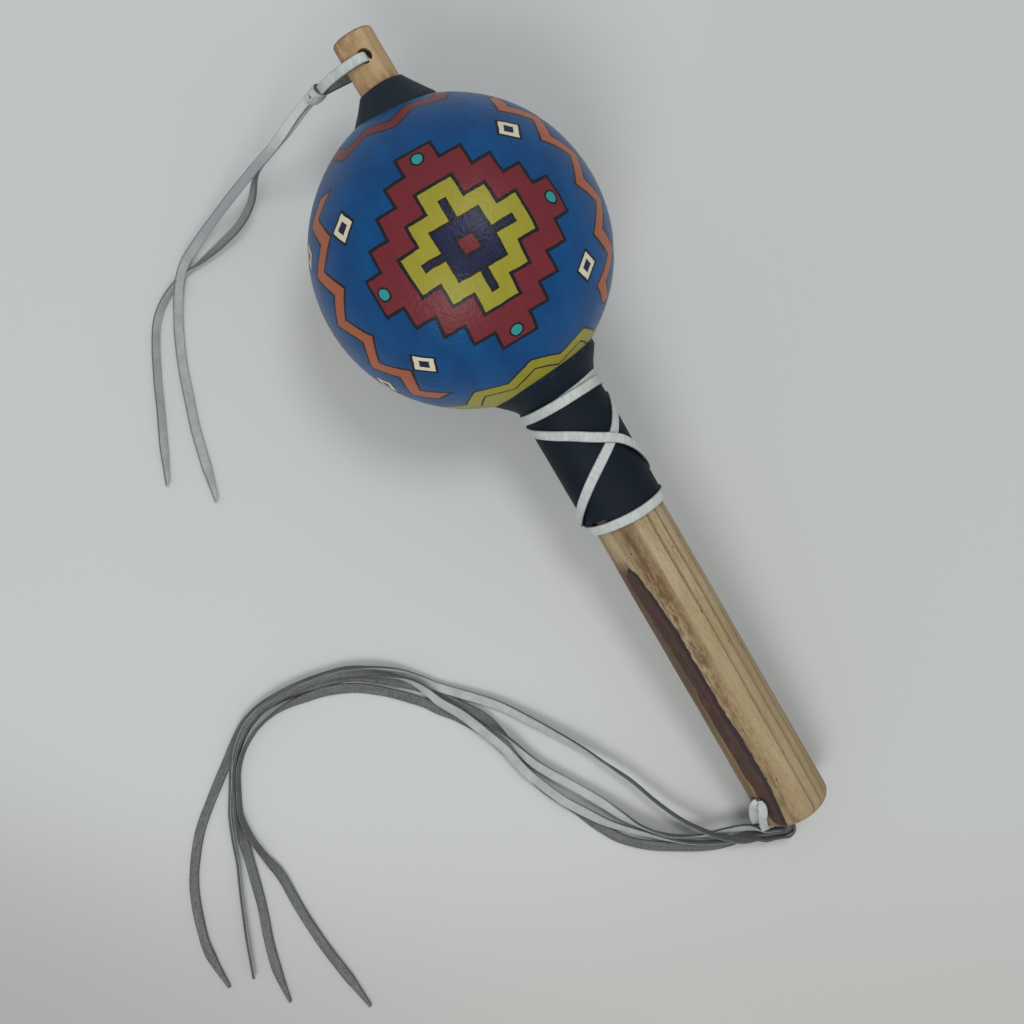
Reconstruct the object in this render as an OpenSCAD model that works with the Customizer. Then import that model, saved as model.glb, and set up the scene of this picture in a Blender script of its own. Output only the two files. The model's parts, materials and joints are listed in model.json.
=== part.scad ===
// Dance rattle: a hollow gourd on a stick, with collars, a laced leather sleeve, thongs and loose pebbles.
// It lies on the gourd and on the rim of its butt. +X runs along the stick to the peg, +Z is up,
// +Y is the side where the thongs lie, and the origin is under the middle of the rattle.

/* [Gourd] */
// Width of the gourd across its middle
gourd_d = 96.8; // [90:0.2:104]
// Length of the gourd from pole to pole
gourd_len = 102.8; // [98:0.2:110]
// Thickness of the dried gourd wall
gourd_wall = 3.6; // [2.6:0.2:5]
// How far the stick passes to the side of the gourd's middle
gourd_offset = 4.4; // [0:0.2:5]

/* [Stick] */
// Distance from the middle of the gourd to the butt end
butt_reach = 225.2; // [222:0.2:240]
// Distance from the middle of the gourd to the end of the peg
peg_reach = 75.6; // [74:0.2:84]
// Diameter of the spindle and peg
peg_d = 14; // [13.4:0.2:15.6]
// Diameter of the grip at its shoulder
grip_neck_d = 24.6; // [23:0.2:25]
// Diameter of the grip at its butt
grip_butt_d = 25.7; // [24.6:0.1:27]
// Rounding of the butt's rim
butt_round = 4; // [1:0.5:5]
// Rounding of the peg's rim
peg_round = 1.2; // [0.5:0.1:3]
// Diameter of the thong hole in the peg
peg_hole_d = 4.8; // [4.4:0.2:6]
// Diameter of the thong hole in the butt
butt_hole_d = 5.4; // [5.2:0.2:6.4]

/* [Leather] */
// Outer diameter of the sleeve
sleeve_d = 28.2; // [27.6:0.2:29]
// Length of the sleeve
sleeve_len = 46.8; // [45:0.2:49]
// Widest diameter of the neck collar
neck_collar_d = 40.4; // [36:0.2:42]
// Widest diameter of the peg collar
peg_collar_d = 30.4; // [28:0.2:34]

/* [Lace] */
// Width of the lace
lace_w = 3.4; // [3:0.1:3.6]
// Thickness of the lace
lace_t = 1.1; // [0.8:0.1:1.2]

/* [Pebbles] */
// Diameter of a pebble
pebble_d = 5.4; // [4:0.2:5.6]

/* [Hidden] */
pebble_count = 10;
$fn = 144;

gourd_blue = [0.10, 0.33, 0.62];
wood_tan = [0.78, 0.64, 0.44];
leather_navy = [0.09, 0.11, 0.15];
lace_white = [0.86, 0.87, 0.88];
pebble_grey = [0.55, 0.52, 0.48];

// The gourd's meridian is an arc whose centre lies a little beyond the gourd's axis.
gourd_r = gourd_d / 2;
arc_r = (pow(gourd_len / 2, 2) + pow(gourd_r, 2)) / (2 * gourd_r);
arc_beyond = arc_r - gourd_r;

// The stick tilts until the gourd and the butt's rim both touch the floor.
butt_r = grip_butt_d / 2;
neck_r = grip_neck_d / 2;
peg_r = peg_d / 2;
lie_a = butt_reach - butt_round;
lie_b = butt_r - butt_round + arc_beyond;
tilt = asin((arc_r - butt_round) / sqrt(pow(lie_a, 2) + pow(lie_b, 2))) - atan2(lie_b, lie_a);
axis_height = arc_r - arc_beyond * cos(tilt);
peg_end_x = (peg_reach - peg_round) * cos(tilt) + (peg_r - peg_round) * sin(tilt) + peg_round;
butt_end_x = -(lie_a * cos(tilt) + (butt_r - butt_round) * sin(tilt) + butt_round);
middle_x = (peg_end_x + butt_end_x) / 2;

// Places along the stick, from the gourd's middle.
shoulder_u = -51.4;
collar_low_u = -54.6;
neck_rim_u = -46;
peg_rim_u = 49.5;
peg_collar_top_u = 57.6;
sleeve_top_u = collar_low_u - 0.2;
sleeve_low_u = sleeve_top_u - sleeve_len;
peg_hole_u = 67;

// Clearances between pieces that are bedded, sewn or glued together.
bed_gap = 0.1;
sleeve_gap = 0.08;
lace_gap = 0.3;
pebble_gap = 0.3;

// The thong hole in the butt runs from the side to the end face, in the stick's own frame.
butt_mouth_at = 58;
butt_hole_side = [-214.5, butt_r * sin(butt_mouth_at), butt_r * cos(butt_mouth_at)];
butt_hole_end = [-butt_reach, 3.5, -3.5];
hole_overrun = 6;

// Puts a piece from the stick's own frame into its lying place.
module lying() {
    translate([-middle_x, -gourd_offset, axis_height])
        rotate([0, -tilt, 0])
            children();
}

// Turns a profile of [radius, place along the stick] round the X axis.
module turned(profile) {
    rotate([0, 90, 0])
        rotate_extrude()
            polygon(profile);
}

// Round bar between two points.
module bar(from, to, r) {
    run = to - from;
    len = norm(run);
    translate(from)
        rotate([0, acos(run.z / len), atan2(run.y, run.x)])
            cylinder(h = len, r = r);
}

// Meridian of the gourd from pole to pole, as [radius, place along the stick], shrunk all over by an inset.
meridian_steps = 48;
function meridian(inset) = let (r = arc_r - inset, pole = acos(arc_beyond / r))
    [for (i = [0:meridian_steps])
        let (a = pole * (2 * i / meridian_steps - 1))
        [i % meridian_steps == 0 ? 0 : r * cos(a) - arc_beyond, r * sin(a)]];

// Solid gourd, shrunk all over by an inset.
module gourd_body(inset) {
    translate([0, gourd_offset, 0])
        turned(meridian(inset));
}

module gourd_shell() {
    color(gourd_blue)
        lying()
            difference() {
                gourd_body(0);
                gourd_body(gourd_wall);
                rotate([0, 90, 0])
                    cylinder(h = 2 * gourd_len, r = peg_r + bed_gap, center = true);
            }
}

// Points of a quarter round at a rim: dir is +1 at the peg and -1 at the butt.
function rim(r, u, round, dir) = [for (a = [0:15:90])
    let (turn = dir > 0 ? a : 90 - a)
    [r - round + round * cos(turn), u - dir * round + dir * round * sin(turn)]];

stick_outline = concat(
    [[0, -butt_reach]],
    rim(butt_r, -butt_reach, butt_round, -1),
    [[neck_r, shoulder_u], [peg_r, shoulder_u]],
    rim(peg_r, peg_reach, peg_round, 1),
    [[0, peg_reach]]);

module handle_stick() {
    color(wood_tan)
        lying()
            difference() {
                turned(stick_outline);
                translate([peg_hole_u, 0, 0])
                    cylinder(h = 2 * peg_d, d = peg_hole_d, center = true);
                bar(butt_hole_side + overrun(butt_hole_end, butt_hole_side),
                    butt_hole_end + overrun(butt_hole_side, butt_hole_end), butt_hole_d / 2);
            }
}

// Step past the second point on the line from the first.
function overrun(from, to) = hole_overrun * (to - from) / norm(to - from);

// Cone that closes the gourd round the peg.
module peg_collar() {
    rim_r = peg_collar_d / 2;
    bore_r = peg_r + bed_gap;
    color(leather_navy)
        lying()
            difference() {
                turned([[bore_r, peg_rim_u - 8], [rim_r - 1, peg_rim_u - 8], [rim_r, peg_rim_u - 2.6],
                        [rim_r - 0.3, peg_rim_u - 1.4], [bore_r + 0.9, peg_collar_top_u - 0.3],
                        [bore_r + 0.6, peg_collar_top_u], [bore_r, peg_collar_top_u]]);
                gourd_body(-bed_gap);
            }
}

// Cone that beds the gourd on the stick's shoulder.
module neck_collar() {
    rim_r = neck_collar_d / 2;
    low_r = sleeve_d / 2;
    color(leather_navy)
        lying()
            difference() {
                turned([[peg_r + bed_gap, neck_rim_u + 12], [rim_r - 1, neck_rim_u + 12], [rim_r, neck_rim_u],
                        [rim_r - 0.4, neck_rim_u - 0.8], [low_r + 0.8, collar_low_u + 0.9],
                        [low_r, collar_low_u], [neck_r + sleeve_gap * 2, collar_low_u],
                        [neck_r + sleeve_gap * 2, shoulder_u + bed_gap],
                        [peg_r + bed_gap, shoulder_u + bed_gap]]);
                gourd_body(-bed_gap);
            }
}

// Leather wrapped round the grip, with its butted seam underneath and a gap in its lower edge.
module leather_sleeve() {
    seam_w = 0.5;
    notch_at = 49;
    notch_w = 7;
    notch_h = 3.8;
    bore_r = neck_r + (butt_r - neck_r) * (sleeve_low_u - shoulder_u) / (-butt_reach - shoulder_u) + sleeve_gap;
    color(leather_navy)
        lying()
            difference() {
                turned([[bore_r, sleeve_low_u], [sleeve_d / 2, sleeve_low_u],
                        [sleeve_d / 2, sleeve_top_u], [bore_r, sleeve_top_u]]);
                translate([sleeve_low_u - 1, -seam_w / 2, -sleeve_d])
                    cube([sleeve_len + 2, seam_w, sleeve_d]);
                rotate([-notch_at, 0, 0])
                    translate([sleeve_low_u - 1, -notch_w / 2, 0])
                        cube([notch_h + 1, notch_w, sleeve_d]);
            }
}

// Closed tube through rings of points, all with the same number of points.
module ring_tube(rings) {
    n = len(rings[0]);
    last = len(rings) - 1;
    sides = [for (i = [0:last - 1], k = [0:n - 1])
        let (a = i * n + k, b = i * n + (k + 1) % n)
        each [[a, b, b + n], [a, b + n, a + n]]];
    caps = [for (k = [1:n - 2]) each [[0, k + 1, k], [last * n, last * n + k, last * n + k + 1]]];
    polyhedron(points = [for (r = rings) each r], faces = concat(sides, caps));
}

// Flat section with chamfered corners: 8 points, or 6 for the lace on the sleeve.
chamfer = 0.3;
function strap_section(w, t) = [
    [w / 2, chamfer - t / 2], [w / 2, t / 2 - chamfer], [w / 2 - chamfer, t / 2], [chamfer - w / 2, t / 2],
    [-w / 2, t / 2 - chamfer], [-w / 2, chamfer - t / 2], [chamfer - w / 2, -t / 2], [w / 2 - chamfer, -t / 2]];
function lace_section(w, t) = [
    [w / 2, 0], [w / 2 - chamfer, t / 2], [chamfer - w / 2, t / 2],
    [-w / 2, 0], [chamfer - w / 2, -t / 2], [w / 2 - chamfer, -t / 2]];

function unit(v) = v / norm(v);
// Direction of a route at one of its points.
function heading(route, i) = unit(route[min(i + 1, len(route) - 1)] - route[max(i - 1, 0)]);
// Section placed at a point, with its width along side and its thickness along normal.
function placed(section, at, side, normal) = [for (p = section) at + p.x * side + p.y * normal];

// The lace on the sleeve: turn 0 is at the thong side, and each turn passes over the top of the stick first.
// Each row is [turn, place along the stick, layer], layer 1 where the lace rides over itself.
lacing_route = [
    [-0.80, -57.2, 0], [-0.70, -56.7, 0], [-0.60, -55.9, 0.4], [-0.50, -55.5, 0.5], [-0.40, -55.5, 0.5],
    [-0.25, -55.9, 0.3], [-0.10, -56.8, 0], [0.00, -57.0, 0], [0.10, -57.0, 0], [0.17, -57.0, 1],
    [0.30, -57.0, 1.1], [0.40, -57.4, 1.5], [0.50, -58.4, 1.5], [0.55, -59.2, 1.3], [0.63, -59.9, 0.6],
    [0.75, -60.2, 0], [0.88, -60.7, 0], [1.00, -61.2, 0], [1.10, -63.4, 0], [1.20, -67.4, 0.3], [1.28, -72.4, 1],
    [1.35, -76.2, 1], [1.40, -80.8, 1], [1.50, -90.5, 0], [1.62, -95.2, 0], [1.80, -98.0, 0], [2.00, -99.4, 0],
    [2.17, -99.9, 0], [2.27, -100.4, 0], [2.64, -100.5, 0], [2.73, -100.4, 1], [2.85, -99.2, 1], [3.00, -96.4, 1],
    [3.05, -93.4, 0.8], [3.19, -83.6, 0], [3.27, -78.6, 0], [3.34, -75.0, 0], [3.39, -71.6, 0], [3.44, -67.6, 0],
    [3.50, -63.6, 0]];
lacing_first = -0.8;
lacing_last = 3.5;
rings_per_turn = 24;
lacing_blur = 0.03;
lacing_layer = lace_t + 0.6;
lacing_r = sleeve_d / 2 + lace_gap + lace_t / 2;
lacing_along = [for (row = lacing_route) [row[0], row[1]]];
lacing_lift = [for (row = lacing_route) [row[0], row[2] * lacing_layer]];
function eased(turn, table) = (lookup(turn - lacing_blur, table) + 2 * lookup(turn, table)
    + lookup(turn + lacing_blur, table)) / 4;
function lacing_point(turn) = let (
    angle = 90 - 360 * turn,
    r = lacing_r + eased(turn, lacing_lift))
    [eased(turn, lacing_along), r * sin(angle), r * cos(angle)];
lacing_rings = [for (i = [0:(lacing_last - lacing_first) * rings_per_turn])
    let (
        turn = lacing_first + i / rings_per_turn,
        at = lacing_point(turn),
        out = unit([0, at.y, at.z]),
        ahead = unit(lacing_point(turn + 0.01) - lacing_point(turn - 0.01)),
        side = unit(cross(ahead, out)))
    placed(lace_section(lace_w, lace_t), at, side, cross(side, ahead))];

// Least gap between the lace and its other turns, on points of its edges and halfway between them.
lacing_near = 2;
function halves(a, b) = [for (k = [0:len(a) - 1]) (a[k] + b[k]) / 2];
lacing_marks = [for (i = [0:len(lacing_rings) - 2])
    let (ring = lacing_rings[i], between = halves(ring, lacing_rings[i + 1]))
    concat(ring, between, halves(ring, [for (k = [1:len(ring)]) ring[k % len(ring)]]))];
lacing_least_gap = min([for (i = [0:len(lacing_marks) - 1], turns = [1:4], near = [-lacing_near:lacing_near])
    let (j = i + turns * rings_per_turn + near)
    if (j < len(lacing_marks))
        for (p = lacing_marks[i], q = lacing_marks[j]) norm(p - q)]);
echo(lacing_least_gap = lacing_least_gap);

module sleeve_lacing() {
    color(lace_white)
        lying()
            ring_tube(lacing_rings);
}

// Strap along a route that keeps its width along one direction.
module belt(route, across, w = lace_w) {
    ring_tube([for (i = [0:len(route) - 1])
        let (ahead = heading(route, i), side = unit(across - (across * ahead) * ahead))
        placed(strap_section(w, lace_t), route[i], side, cross(side, ahead))]);
}

// Thong along rows of [x, y, z, lean], where lean 0 lies flat and 90 stands on edge. It is cut to a point.
tail_point_w = 0.35;
module tail(rows) {
    route = [for (row = rows) [row[0], row[1], row[2]]];
    last = len(route) - 1;
    ring_tube([for (i = [0:last])
        let (
            ahead = heading(route, i),
            level = unit(cross(ahead, [0, 0, 1])),
            upright = cross(level, ahead),
            lean = rows[i][3],
            side = cos(lean) * level + sin(lean) * upright,
            normal = cos(lean) * upright - sin(lean) * level,
            w = i == last ? lace_w * tail_point_w : lace_w)
        placed(strap_section(w, lace_t), route[i], side, normal)]);
}

// The peg thong goes through the peg from top to bottom, and both ends meet in a knot.
peg_loop_route = [
    [141.3, 10.4, 56.4], [140.7, 7, 61], [140, 3, 65], [139.3, -1, 67.5], [139.1, -3.4, 67.9],
    [139.3, -4.4, 66.4], [139.7, -4.4, 63], [140.3, -4.4, 59], [140.9, -4.4, 55], [141.3, -4.2, 51.2],
    [141.6, -2.6, 49.6], [141.9, 1, 49], [142.1, 5, 49.2], [142.1, 9, 50]];
knot_top = [141.7, 10.8, 54.2];
knot_low = [142.3, 16.4, 48.6];
knot_r = 3.6;
knot_round = 1.4;

module peg_thong_loop() {
    color(lace_white)
        belt(peg_loop_route, [1, 0, 0]);
}

module peg_thong_knot() {
    run = knot_low - knot_top;
    len = norm(run);
    color(lace_white)
        translate(knot_top)
            rotate([0, acos(run.z / len), atan2(run.y, run.x)])
                rotate_extrude()
                    polygon(concat([[0, 0]], rim(knot_r, 0, knot_round, -1),
                                   rim(knot_r, len, knot_round, 1), [[0, len]]));
}

peg_tail_1 = [
    [142.8, 18.6, 47.6, 0], [142.8, 26, 39, 0], [141.8, 35, 30.5, 0], [140.8, 47, 21.5, 0],
    [138.8, 60, 13.5, 0], [135.8, 73, 7.2, 0], [130.8, 85, 4.2, 0], [122.8, 92.5, 2.6, 0], [112.8, 98.5, 1, 0],
    [100.8, 104, 0.6, 0], [88.8, 108.5, 0.6, 0], [76.8, 112.5, 0.6, 0], [63.8, 116, 0.6, 0],
    [51.8, 119, 0.6, 0]];
peg_tail_2 = [
    [142.9, 19.1, 44.4, 180], [142.9, 28.2, 33.5, 180], [142.3, 37.7, 24.5, 180], [140.3, 45.8, 17.4, 185],
    [135.2, 52.5, 11.5, 200], [131.8, 60, 7.5, 200], [130.2, 69, 4.5, 190], [129.2, 78, 2.2, 180],
    [128.2, 87, 0.6, 180], [124.8, 96, 0.6, 180], [118.8, 104, 0.6, 180], [110.8, 109.5, 0.6, 180],
    [101.8, 114, 0.6, 180], [91.8, 118.5, 0.6, 180], [80.8, 124, 0.6, 180], [65.8, 131, 0.6, 180]];

module peg_thong_tail_1() { color(lace_white) tail(peg_tail_1); }
module peg_thong_tail_2() { color(lace_white) tail(peg_tail_2); }

// The butt thongs: doubled laces whose loop comes out of the side hole and holds its own four tails.
wrap_route = [
    [-149, -1.5, 7.8], [-152.6, -1.6, 7], [-155.4, 0.6, 6.2], [-155.8, 3.6, 5.7], [-154.6, 6.8, 5.4],
    [-152.2, 10.8, 5.2], [-150.2, 14.7, 5.2], [-149, 17.4, 5.2]];
wrap_w = 4.6;
wrap_h = 4.8;
butt_loop_route = [
    [-136.4, 7.3, 21.4], [-136.6, 8.8, 20.4], [-139.1, 10.2, 15], [-142.4, 10.9, 10.5], [-145.5, 11.4, 7.2],
    [-147.5, 11.7, 4.6], [-148.3, 11.4, 2], [-151.5, 11.8, 1.5], [-154.6, 12.2, 2], [-155.4, 12, 4.6],
    [-155.4, 11.2, 8], [-149.3, 8.5, 14.2], [-143.3, 7.3, 24.9], [-139.7, 6.1, 25.9], [-138.2, 5.8, 24],
    [-138.3, 6.7, 23]];
loop_across = unit([0.45, 0.89, 0]);
plug_r = 2.4;
plug_out = 2.4;
plug_short = 1.6;

module butt_thong_loops() {
    way = unit(butt_hole_end - butt_hole_side);
    color(lace_white) {
        belt(butt_loop_route, loop_across);
        lying() bar(butt_hole_side - plug_out * way, butt_hole_end - plug_short * way, plug_r);
    }
}

module butt_thong_wrap() {
    color(lace_white)
        ring_tube([for (i = [0:len(wrap_route) - 1])
            let (ahead = heading(wrap_route, i), side = unit(cross(ahead, [0, 0, 1])))
            placed(strap_section(wrap_w, wrap_h), wrap_route[i], side, cross(side, ahead))]);
}

butt_tail_1 = [
    [-147.9, 18.8, 6.9, 180], [-141.3, 26.4, 8.2, 110], [-132.2, 33.2, 7, 100], [-121.7, 38.1, 5.8, 95],
    [-110.3, 42.1, 4.8, 90], [-100, 47.2, 3.9, 80], [-90.2, 52.6, 3, 55], [-76.1, 61.1, 2.2, 35],
    [-62.8, 70.1, 1.5, 20], [-49.7, 80.9, 0.9, 10], [-38.2, 88.5, 0.6, 0], [-28.2, 99, 0.6, 0],
    [-21.8, 111, 0.6, 0], [-20.2, 124, 0.6, 0], [-21.8, 138.5, 0.6, 0], [-26.8, 152, 1.8, 80],
    [-34.2, 162.5, 1.8, 85], [-43.2, 170.5, 1.8, 85], [-55.2, 176, 1.8, 85], [-67.2, 180.5, 1.8, 85],
    [-79.2, 185.5, 1.8, 85], [-92.2, 191, 1.8, 85], [-103.2, 195.5, 1.8, 85]];
butt_tail_2 = [
    [-148.5, 18.9, 5.4, 180], [-142.5, 31.3, 5.6, 180], [-135.7, 39.8, 5.8, 100], [-127.5, 46.8, 4.6, 30],
    [-112.9, 54.8, 2.9, 0], [-103.1, 60.3, 2.2, 0], [-88.6, 68.5, 1.9, 20], [-75.3, 72, 2.2, 85],
    [-68.2, 74.5, 1.7, 140], [-61.9, 77.5, 0.8, 180], [-52.6, 83.9, 0.6, 180], [-44.3, 90.4, 0.6, 180],
    [-39.1, 95.7, 0.6, 180], [-34.6, 101.5, 0.6, 180], [-29, 110, 0.6, 180], [-25.4, 119.3, 0.6, 180],
    [-23.9, 128, 1.3, 215], [-24.3, 136.8, 1.8, 255], [-26.7, 144.5, 1.8, 265], [-31.5, 154.4, 1.8, 265],
    [-37.7, 163.5, 1.8, 265], [-46.3, 169.3, 1.8, 240], [-56.8, 172.6, 0.9, 190], [-68.2, 175, 0.6, 180],
    [-82.2, 180, 0.6, 180], [-95.2, 184.5, 0.6, 180], [-107.2, 187.5, 0.6, 180], [-117.2, 188.8, 0.6, 180]];
butt_tail_3 = [
    [-149.1, 18.9, 3.9, 0], [-143.9, 31.7, 3.5, 0], [-135.1, 43.2, 3, 0], [-126.4, 51.4, 2.5, 0],
    [-115, 60.6, 2, 0], [-104.8, 66.8, 2, 0], [-90.9, 72.4, 2, 0], [-77.6, 75.5, 2, 0], [-65.6, 79.7, 2.1, 0],
    [-59.1, 82.6, 2.2, 5], [-51.6, 86.1, 2.4, 20], [-46.2, 88.1, 2.6, 40], [-40.2, 91.3, 3, 70],
    [-35.6, 95.5, 3, 95], [-32.1, 99.7, 3, 120], [-25.3, 110.4, 2.7, 165], [-21.6, 120.9, 2.5, 180],
    [-19.8, 132.4, 3, 180], [-19.7, 142.2, 2, 180], [-22.8, 152.3, 1.1, 180], [-30.2, 165, 0.6, 180],
    [-41.2, 177.5, 0.6, 180], [-48.8, 186.5, 0.6, 180], [-58.8, 194.5, 0.6, 180], [-69.2, 200, 0.6, 180],
    [-83.2, 204.5, 0.6, 180], [-92.2, 205.5, 0.6, 180], [-100.8, 205.5, 0.6, 180]];
butt_tail_4 = [
    [-149.8, 19, 2.4, 180], [-144.3, 33.8, 2, 180], [-136.7, 46.5, 1.2, 180], [-128.8, 55.2, 0.6, 180],
    [-120.2, 60.3, 0.6, 180], [-111.7, 63.6, 0.6, 180], [-100, 69.4, 0.6, 180], [-87.3, 73.2, 0.6, 180],
    [-72.5, 77.5, 0.6, 180], [-61.8, 83, 0.6, 180], [-55, 87.8, 0.6, 180], [-48.6, 92.9, 0.6, 180],
    [-43.1, 98.1, 0.6, 180], [-38.3, 103.7, 0.6, 180], [-32.5, 112.1, 0.6, 180], [-28.7, 121.2, 0.6, 180],
    [-27.4, 129.2, 1.3, 210], [-27.4, 136.5, 1.8, 255], [-29.8, 144.5, 1.8, 265], [-33.9, 154.3, 1.8, 265],
    [-39.7, 162.2, 1.8, 265], [-45.9, 166.5, 1.8, 262], [-52.8, 169, 1.8, 260], [-59.8, 170, 1.8, 255],
    [-66.8, 169.5, 1.8, 250], [-76.2, 168.5, 1.2, 205], [-88.2, 168.6, 0.6, 180], [-98.2, 168.4, 0.6, 180],
    [-113.2, 167.4, 0.6, 180], [-133.2, 165, 0.6, 180]];

module butt_thong_tail_1() { color(lace_white) tail(butt_tail_1); }
module butt_thong_tail_2() { color(lace_white) tail(butt_tail_2); }
module butt_thong_tail_3() { color(lace_white) tail(butt_tail_3); }
module butt_thong_tail_4() { color(lace_white) tail(butt_tail_4); }

// Each pebble rolls round the gourd's own axis in a lane of its own, and rests at the lane's lowest point.
lane_step = 6;
pebble_edge = 1.9;
module pebble(i) {
    lane_u = (i - (pebble_count + 1) / 2) * lane_step;
    room = arc_r - gourd_wall - pebble_gap - pebble_d / 2;
    lane_r = sqrt(pow(room, 2) - pow(lane_u, 2)) - arc_beyond;
    color(pebble_grey)
        lying()
            translate([lane_u, gourd_offset, -lane_r])
                rotate_extrude()
                    intersection() {
                        union() {
                            translate([pebble_d / 2 - pebble_edge, 0]) circle(pebble_edge);
                            translate([0, -pebble_edge])
                                square([pebble_d / 2 - pebble_edge, 2 * pebble_edge]);
                        }
                        translate([0, -pebble_d]) square([pebble_d, 2 * pebble_d]);
                    }
}

gourd_shell();
handle_stick();
peg_collar();
neck_collar();
leather_sleeve();
sleeve_lacing();
peg_thong_loop();
peg_thong_knot();
peg_thong_tail_1();
peg_thong_tail_2();
butt_thong_loops();
butt_thong_wrap();
butt_thong_tail_1();
butt_thong_tail_2();
butt_thong_tail_3();
butt_thong_tail_4();
for (i = [1:pebble_count])
    pebble(i);
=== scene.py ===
import json
import math

import bmesh
import bpy
from mathutils import Matrix, Vector, noise


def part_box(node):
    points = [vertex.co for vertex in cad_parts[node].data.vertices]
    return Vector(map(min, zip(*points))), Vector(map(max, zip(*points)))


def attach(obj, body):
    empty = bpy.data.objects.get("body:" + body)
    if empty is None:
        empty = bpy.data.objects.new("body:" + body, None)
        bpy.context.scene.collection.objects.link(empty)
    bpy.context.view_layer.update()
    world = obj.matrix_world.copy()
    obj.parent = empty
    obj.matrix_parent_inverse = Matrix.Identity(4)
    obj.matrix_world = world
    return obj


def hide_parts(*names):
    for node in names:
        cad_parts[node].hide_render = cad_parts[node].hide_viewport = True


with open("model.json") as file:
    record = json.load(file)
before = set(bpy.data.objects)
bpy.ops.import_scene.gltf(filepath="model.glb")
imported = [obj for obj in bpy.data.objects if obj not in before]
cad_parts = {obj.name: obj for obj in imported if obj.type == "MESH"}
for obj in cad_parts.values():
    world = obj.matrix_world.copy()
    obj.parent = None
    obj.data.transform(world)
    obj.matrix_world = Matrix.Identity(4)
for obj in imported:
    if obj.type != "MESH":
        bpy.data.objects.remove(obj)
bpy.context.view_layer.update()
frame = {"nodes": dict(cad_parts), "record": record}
scene = bpy.context.scene

# Sizes are in millimetres. In the stick's own frame, X runs along it from the gourd's middle to the peg,
# and Y runs to the side where the thongs lie.
MM = 0.001
roll_axis = frame["record"]["behaviour"]["joints"][0]["axis"]
TILT = math.atan2(roll_axis[2], roll_axis[0])
GOURD_ASIDE = 4.4
gourd_low, gourd_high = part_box("gourd_shell")
gourd_middle = (gourd_low + gourd_high) / 2
stick_middle = gourd_middle - Vector((0, GOURD_ASIDE * MM, 0))
laid_down = Matrix.Rotation(-TILT, 4, "Y") @ Matrix.Scale(MM, 4)
gourd_place = Matrix.Translation(gourd_middle) @ laid_down
stick_place = Matrix.Translation(stick_middle) @ laid_down
row_place = Matrix.Scale(MM, 4)


class Shade:
    """A value, colour or vector in a material. Sums on values add Math nodes."""

    def __init__(self, look, socket):
        self.look = look
        self.socket = socket

    def math(self, operation, *others):
        return self.look.node("Math", {"operation": operation}, dict(enumerate((self, *others))))

    def __add__(self, other):
        return self.math("ADD", other)

    def __sub__(self, other):
        return self.math("SUBTRACT", other)

    def __rsub__(self, other):
        return self.look.node("Math", {"operation": "SUBTRACT"}, {0: other, 1: self})

    def __mul__(self, other):
        return self.math("MULTIPLY", other)

    def __truediv__(self, other):
        return self.math("DIVIDE", other)

    def __neg__(self):
        return self * -1

    def __abs__(self):
        return self.math("ABSOLUTE")

    __radd__ = __add__
    __rmul__ = __mul__

    def least(self, other):
        return self.math("MINIMUM", other)

    def most(self, other):
        return self.math("MAXIMUM", other)

    def rise(self, low, high):
        """0 at low, 1 at high, and smooth between. It falls where high is the lower number."""
        return self.look.node("MapRange", {"interpolation_type": "SMOOTHSTEP"},
                              {"Value": self, "From Min": low, "From Max": high})


class Look:
    """A material made from nodes. Its spot is a place in the piece's own frame, in millimetres."""

    def __init__(self, name, place):
        self.material = bpy.data.materials.new(name)
        self.material.use_nodes = True
        self.tree = self.material.node_tree
        self.tree.nodes.clear()
        move, turn, scale = place.inverted().decompose()
        self.spot = self.node("Mapping", {"vector_type": "POINT"}, {
            "Vector": self.node("TexCoord", out="Object"),
            "Location": move, "Rotation": turn.to_euler(), "Scale": scale})

    def node(self, kind, settings=None, sockets=None, out=0):
        made = self.tree.nodes.new("ShaderNode" + kind)
        for key, value in (settings or {}).items():
            if key == "stops":
                fill_ramp(made.color_ramp, *value)
            else:
                setattr(made, key, value)
        for key, value in (sockets or {}).items():
            if isinstance(value, Shade):
                self.tree.links.new(value.socket, made.inputs[key])
            else:
                made.inputs[key].default_value = value
        return Shade(self, made.outputs[out]) if made.outputs else made

    def mark(self, name):
        """A value that the piece's own mesh carries."""
        return self.node("Attribute", {"attribute_name": name}, None, "Fac")

    def parts(self, vector, splitter="SeparateXYZ"):
        """The numbers of a vector or a colour."""
        split = self.node(splitter, None, {0: vector})
        return [Shade(self, socket) for socket in split.socket.node.outputs]

    def vector(self, x, y, z):
        return self.node("CombineXYZ", None, {0: x, 1: y, 2: z})

    def stretch(self, *scale):
        return self.node("VectorMath", {"operation": "MULTIPLY"}, {0: self.spot, 1: scale})

    def mottle(self, size, detail, rough, at=None, out=0):
        """Cloudy noise with blotches of about that size."""
        return self.node("TexNoise", None, {
            "Vector": at or self.spot, "Scale": 1 / size, "Detail": detail, "Roughness": rough}, out)

    def cells(self, scale, smoothness):
        """The soft cells of leather's grain."""
        return self.node("TexVoronoi", {"feature": "SMOOTH_F1"}, {
            "Vector": self.spot, "Scale": scale, "Smoothness": smoothness}, "Distance")

    def mix(self, share, below, above):
        return self.node("Mix", {"data_type": "RGBA"}, {0: share, 6: below, 7: above}, 2)

    def coats(self, ground, *layers):
        """Colours laid over a ground one after another, each by its share."""
        for share, colour in layers:
            ground = self.mix(share, ground, colour)
        return ground

    def finish(self, colour, rough, shine, height=None, depth=0.0):
        """The material, with its bumps as deep as given where it has a height."""
        sockets = {"Base Color": colour, "Roughness": rough, "Specular IOR Level": shine}
        if height:
            sockets["Normal"] = self.node("Bump", None, {"Height": height, "Distance": depth * MM})
        skin = self.node("BsdfPrincipled", None, sockets)
        self.node("OutputMaterial", None, {"Surface": skin})
        return self.material


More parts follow.
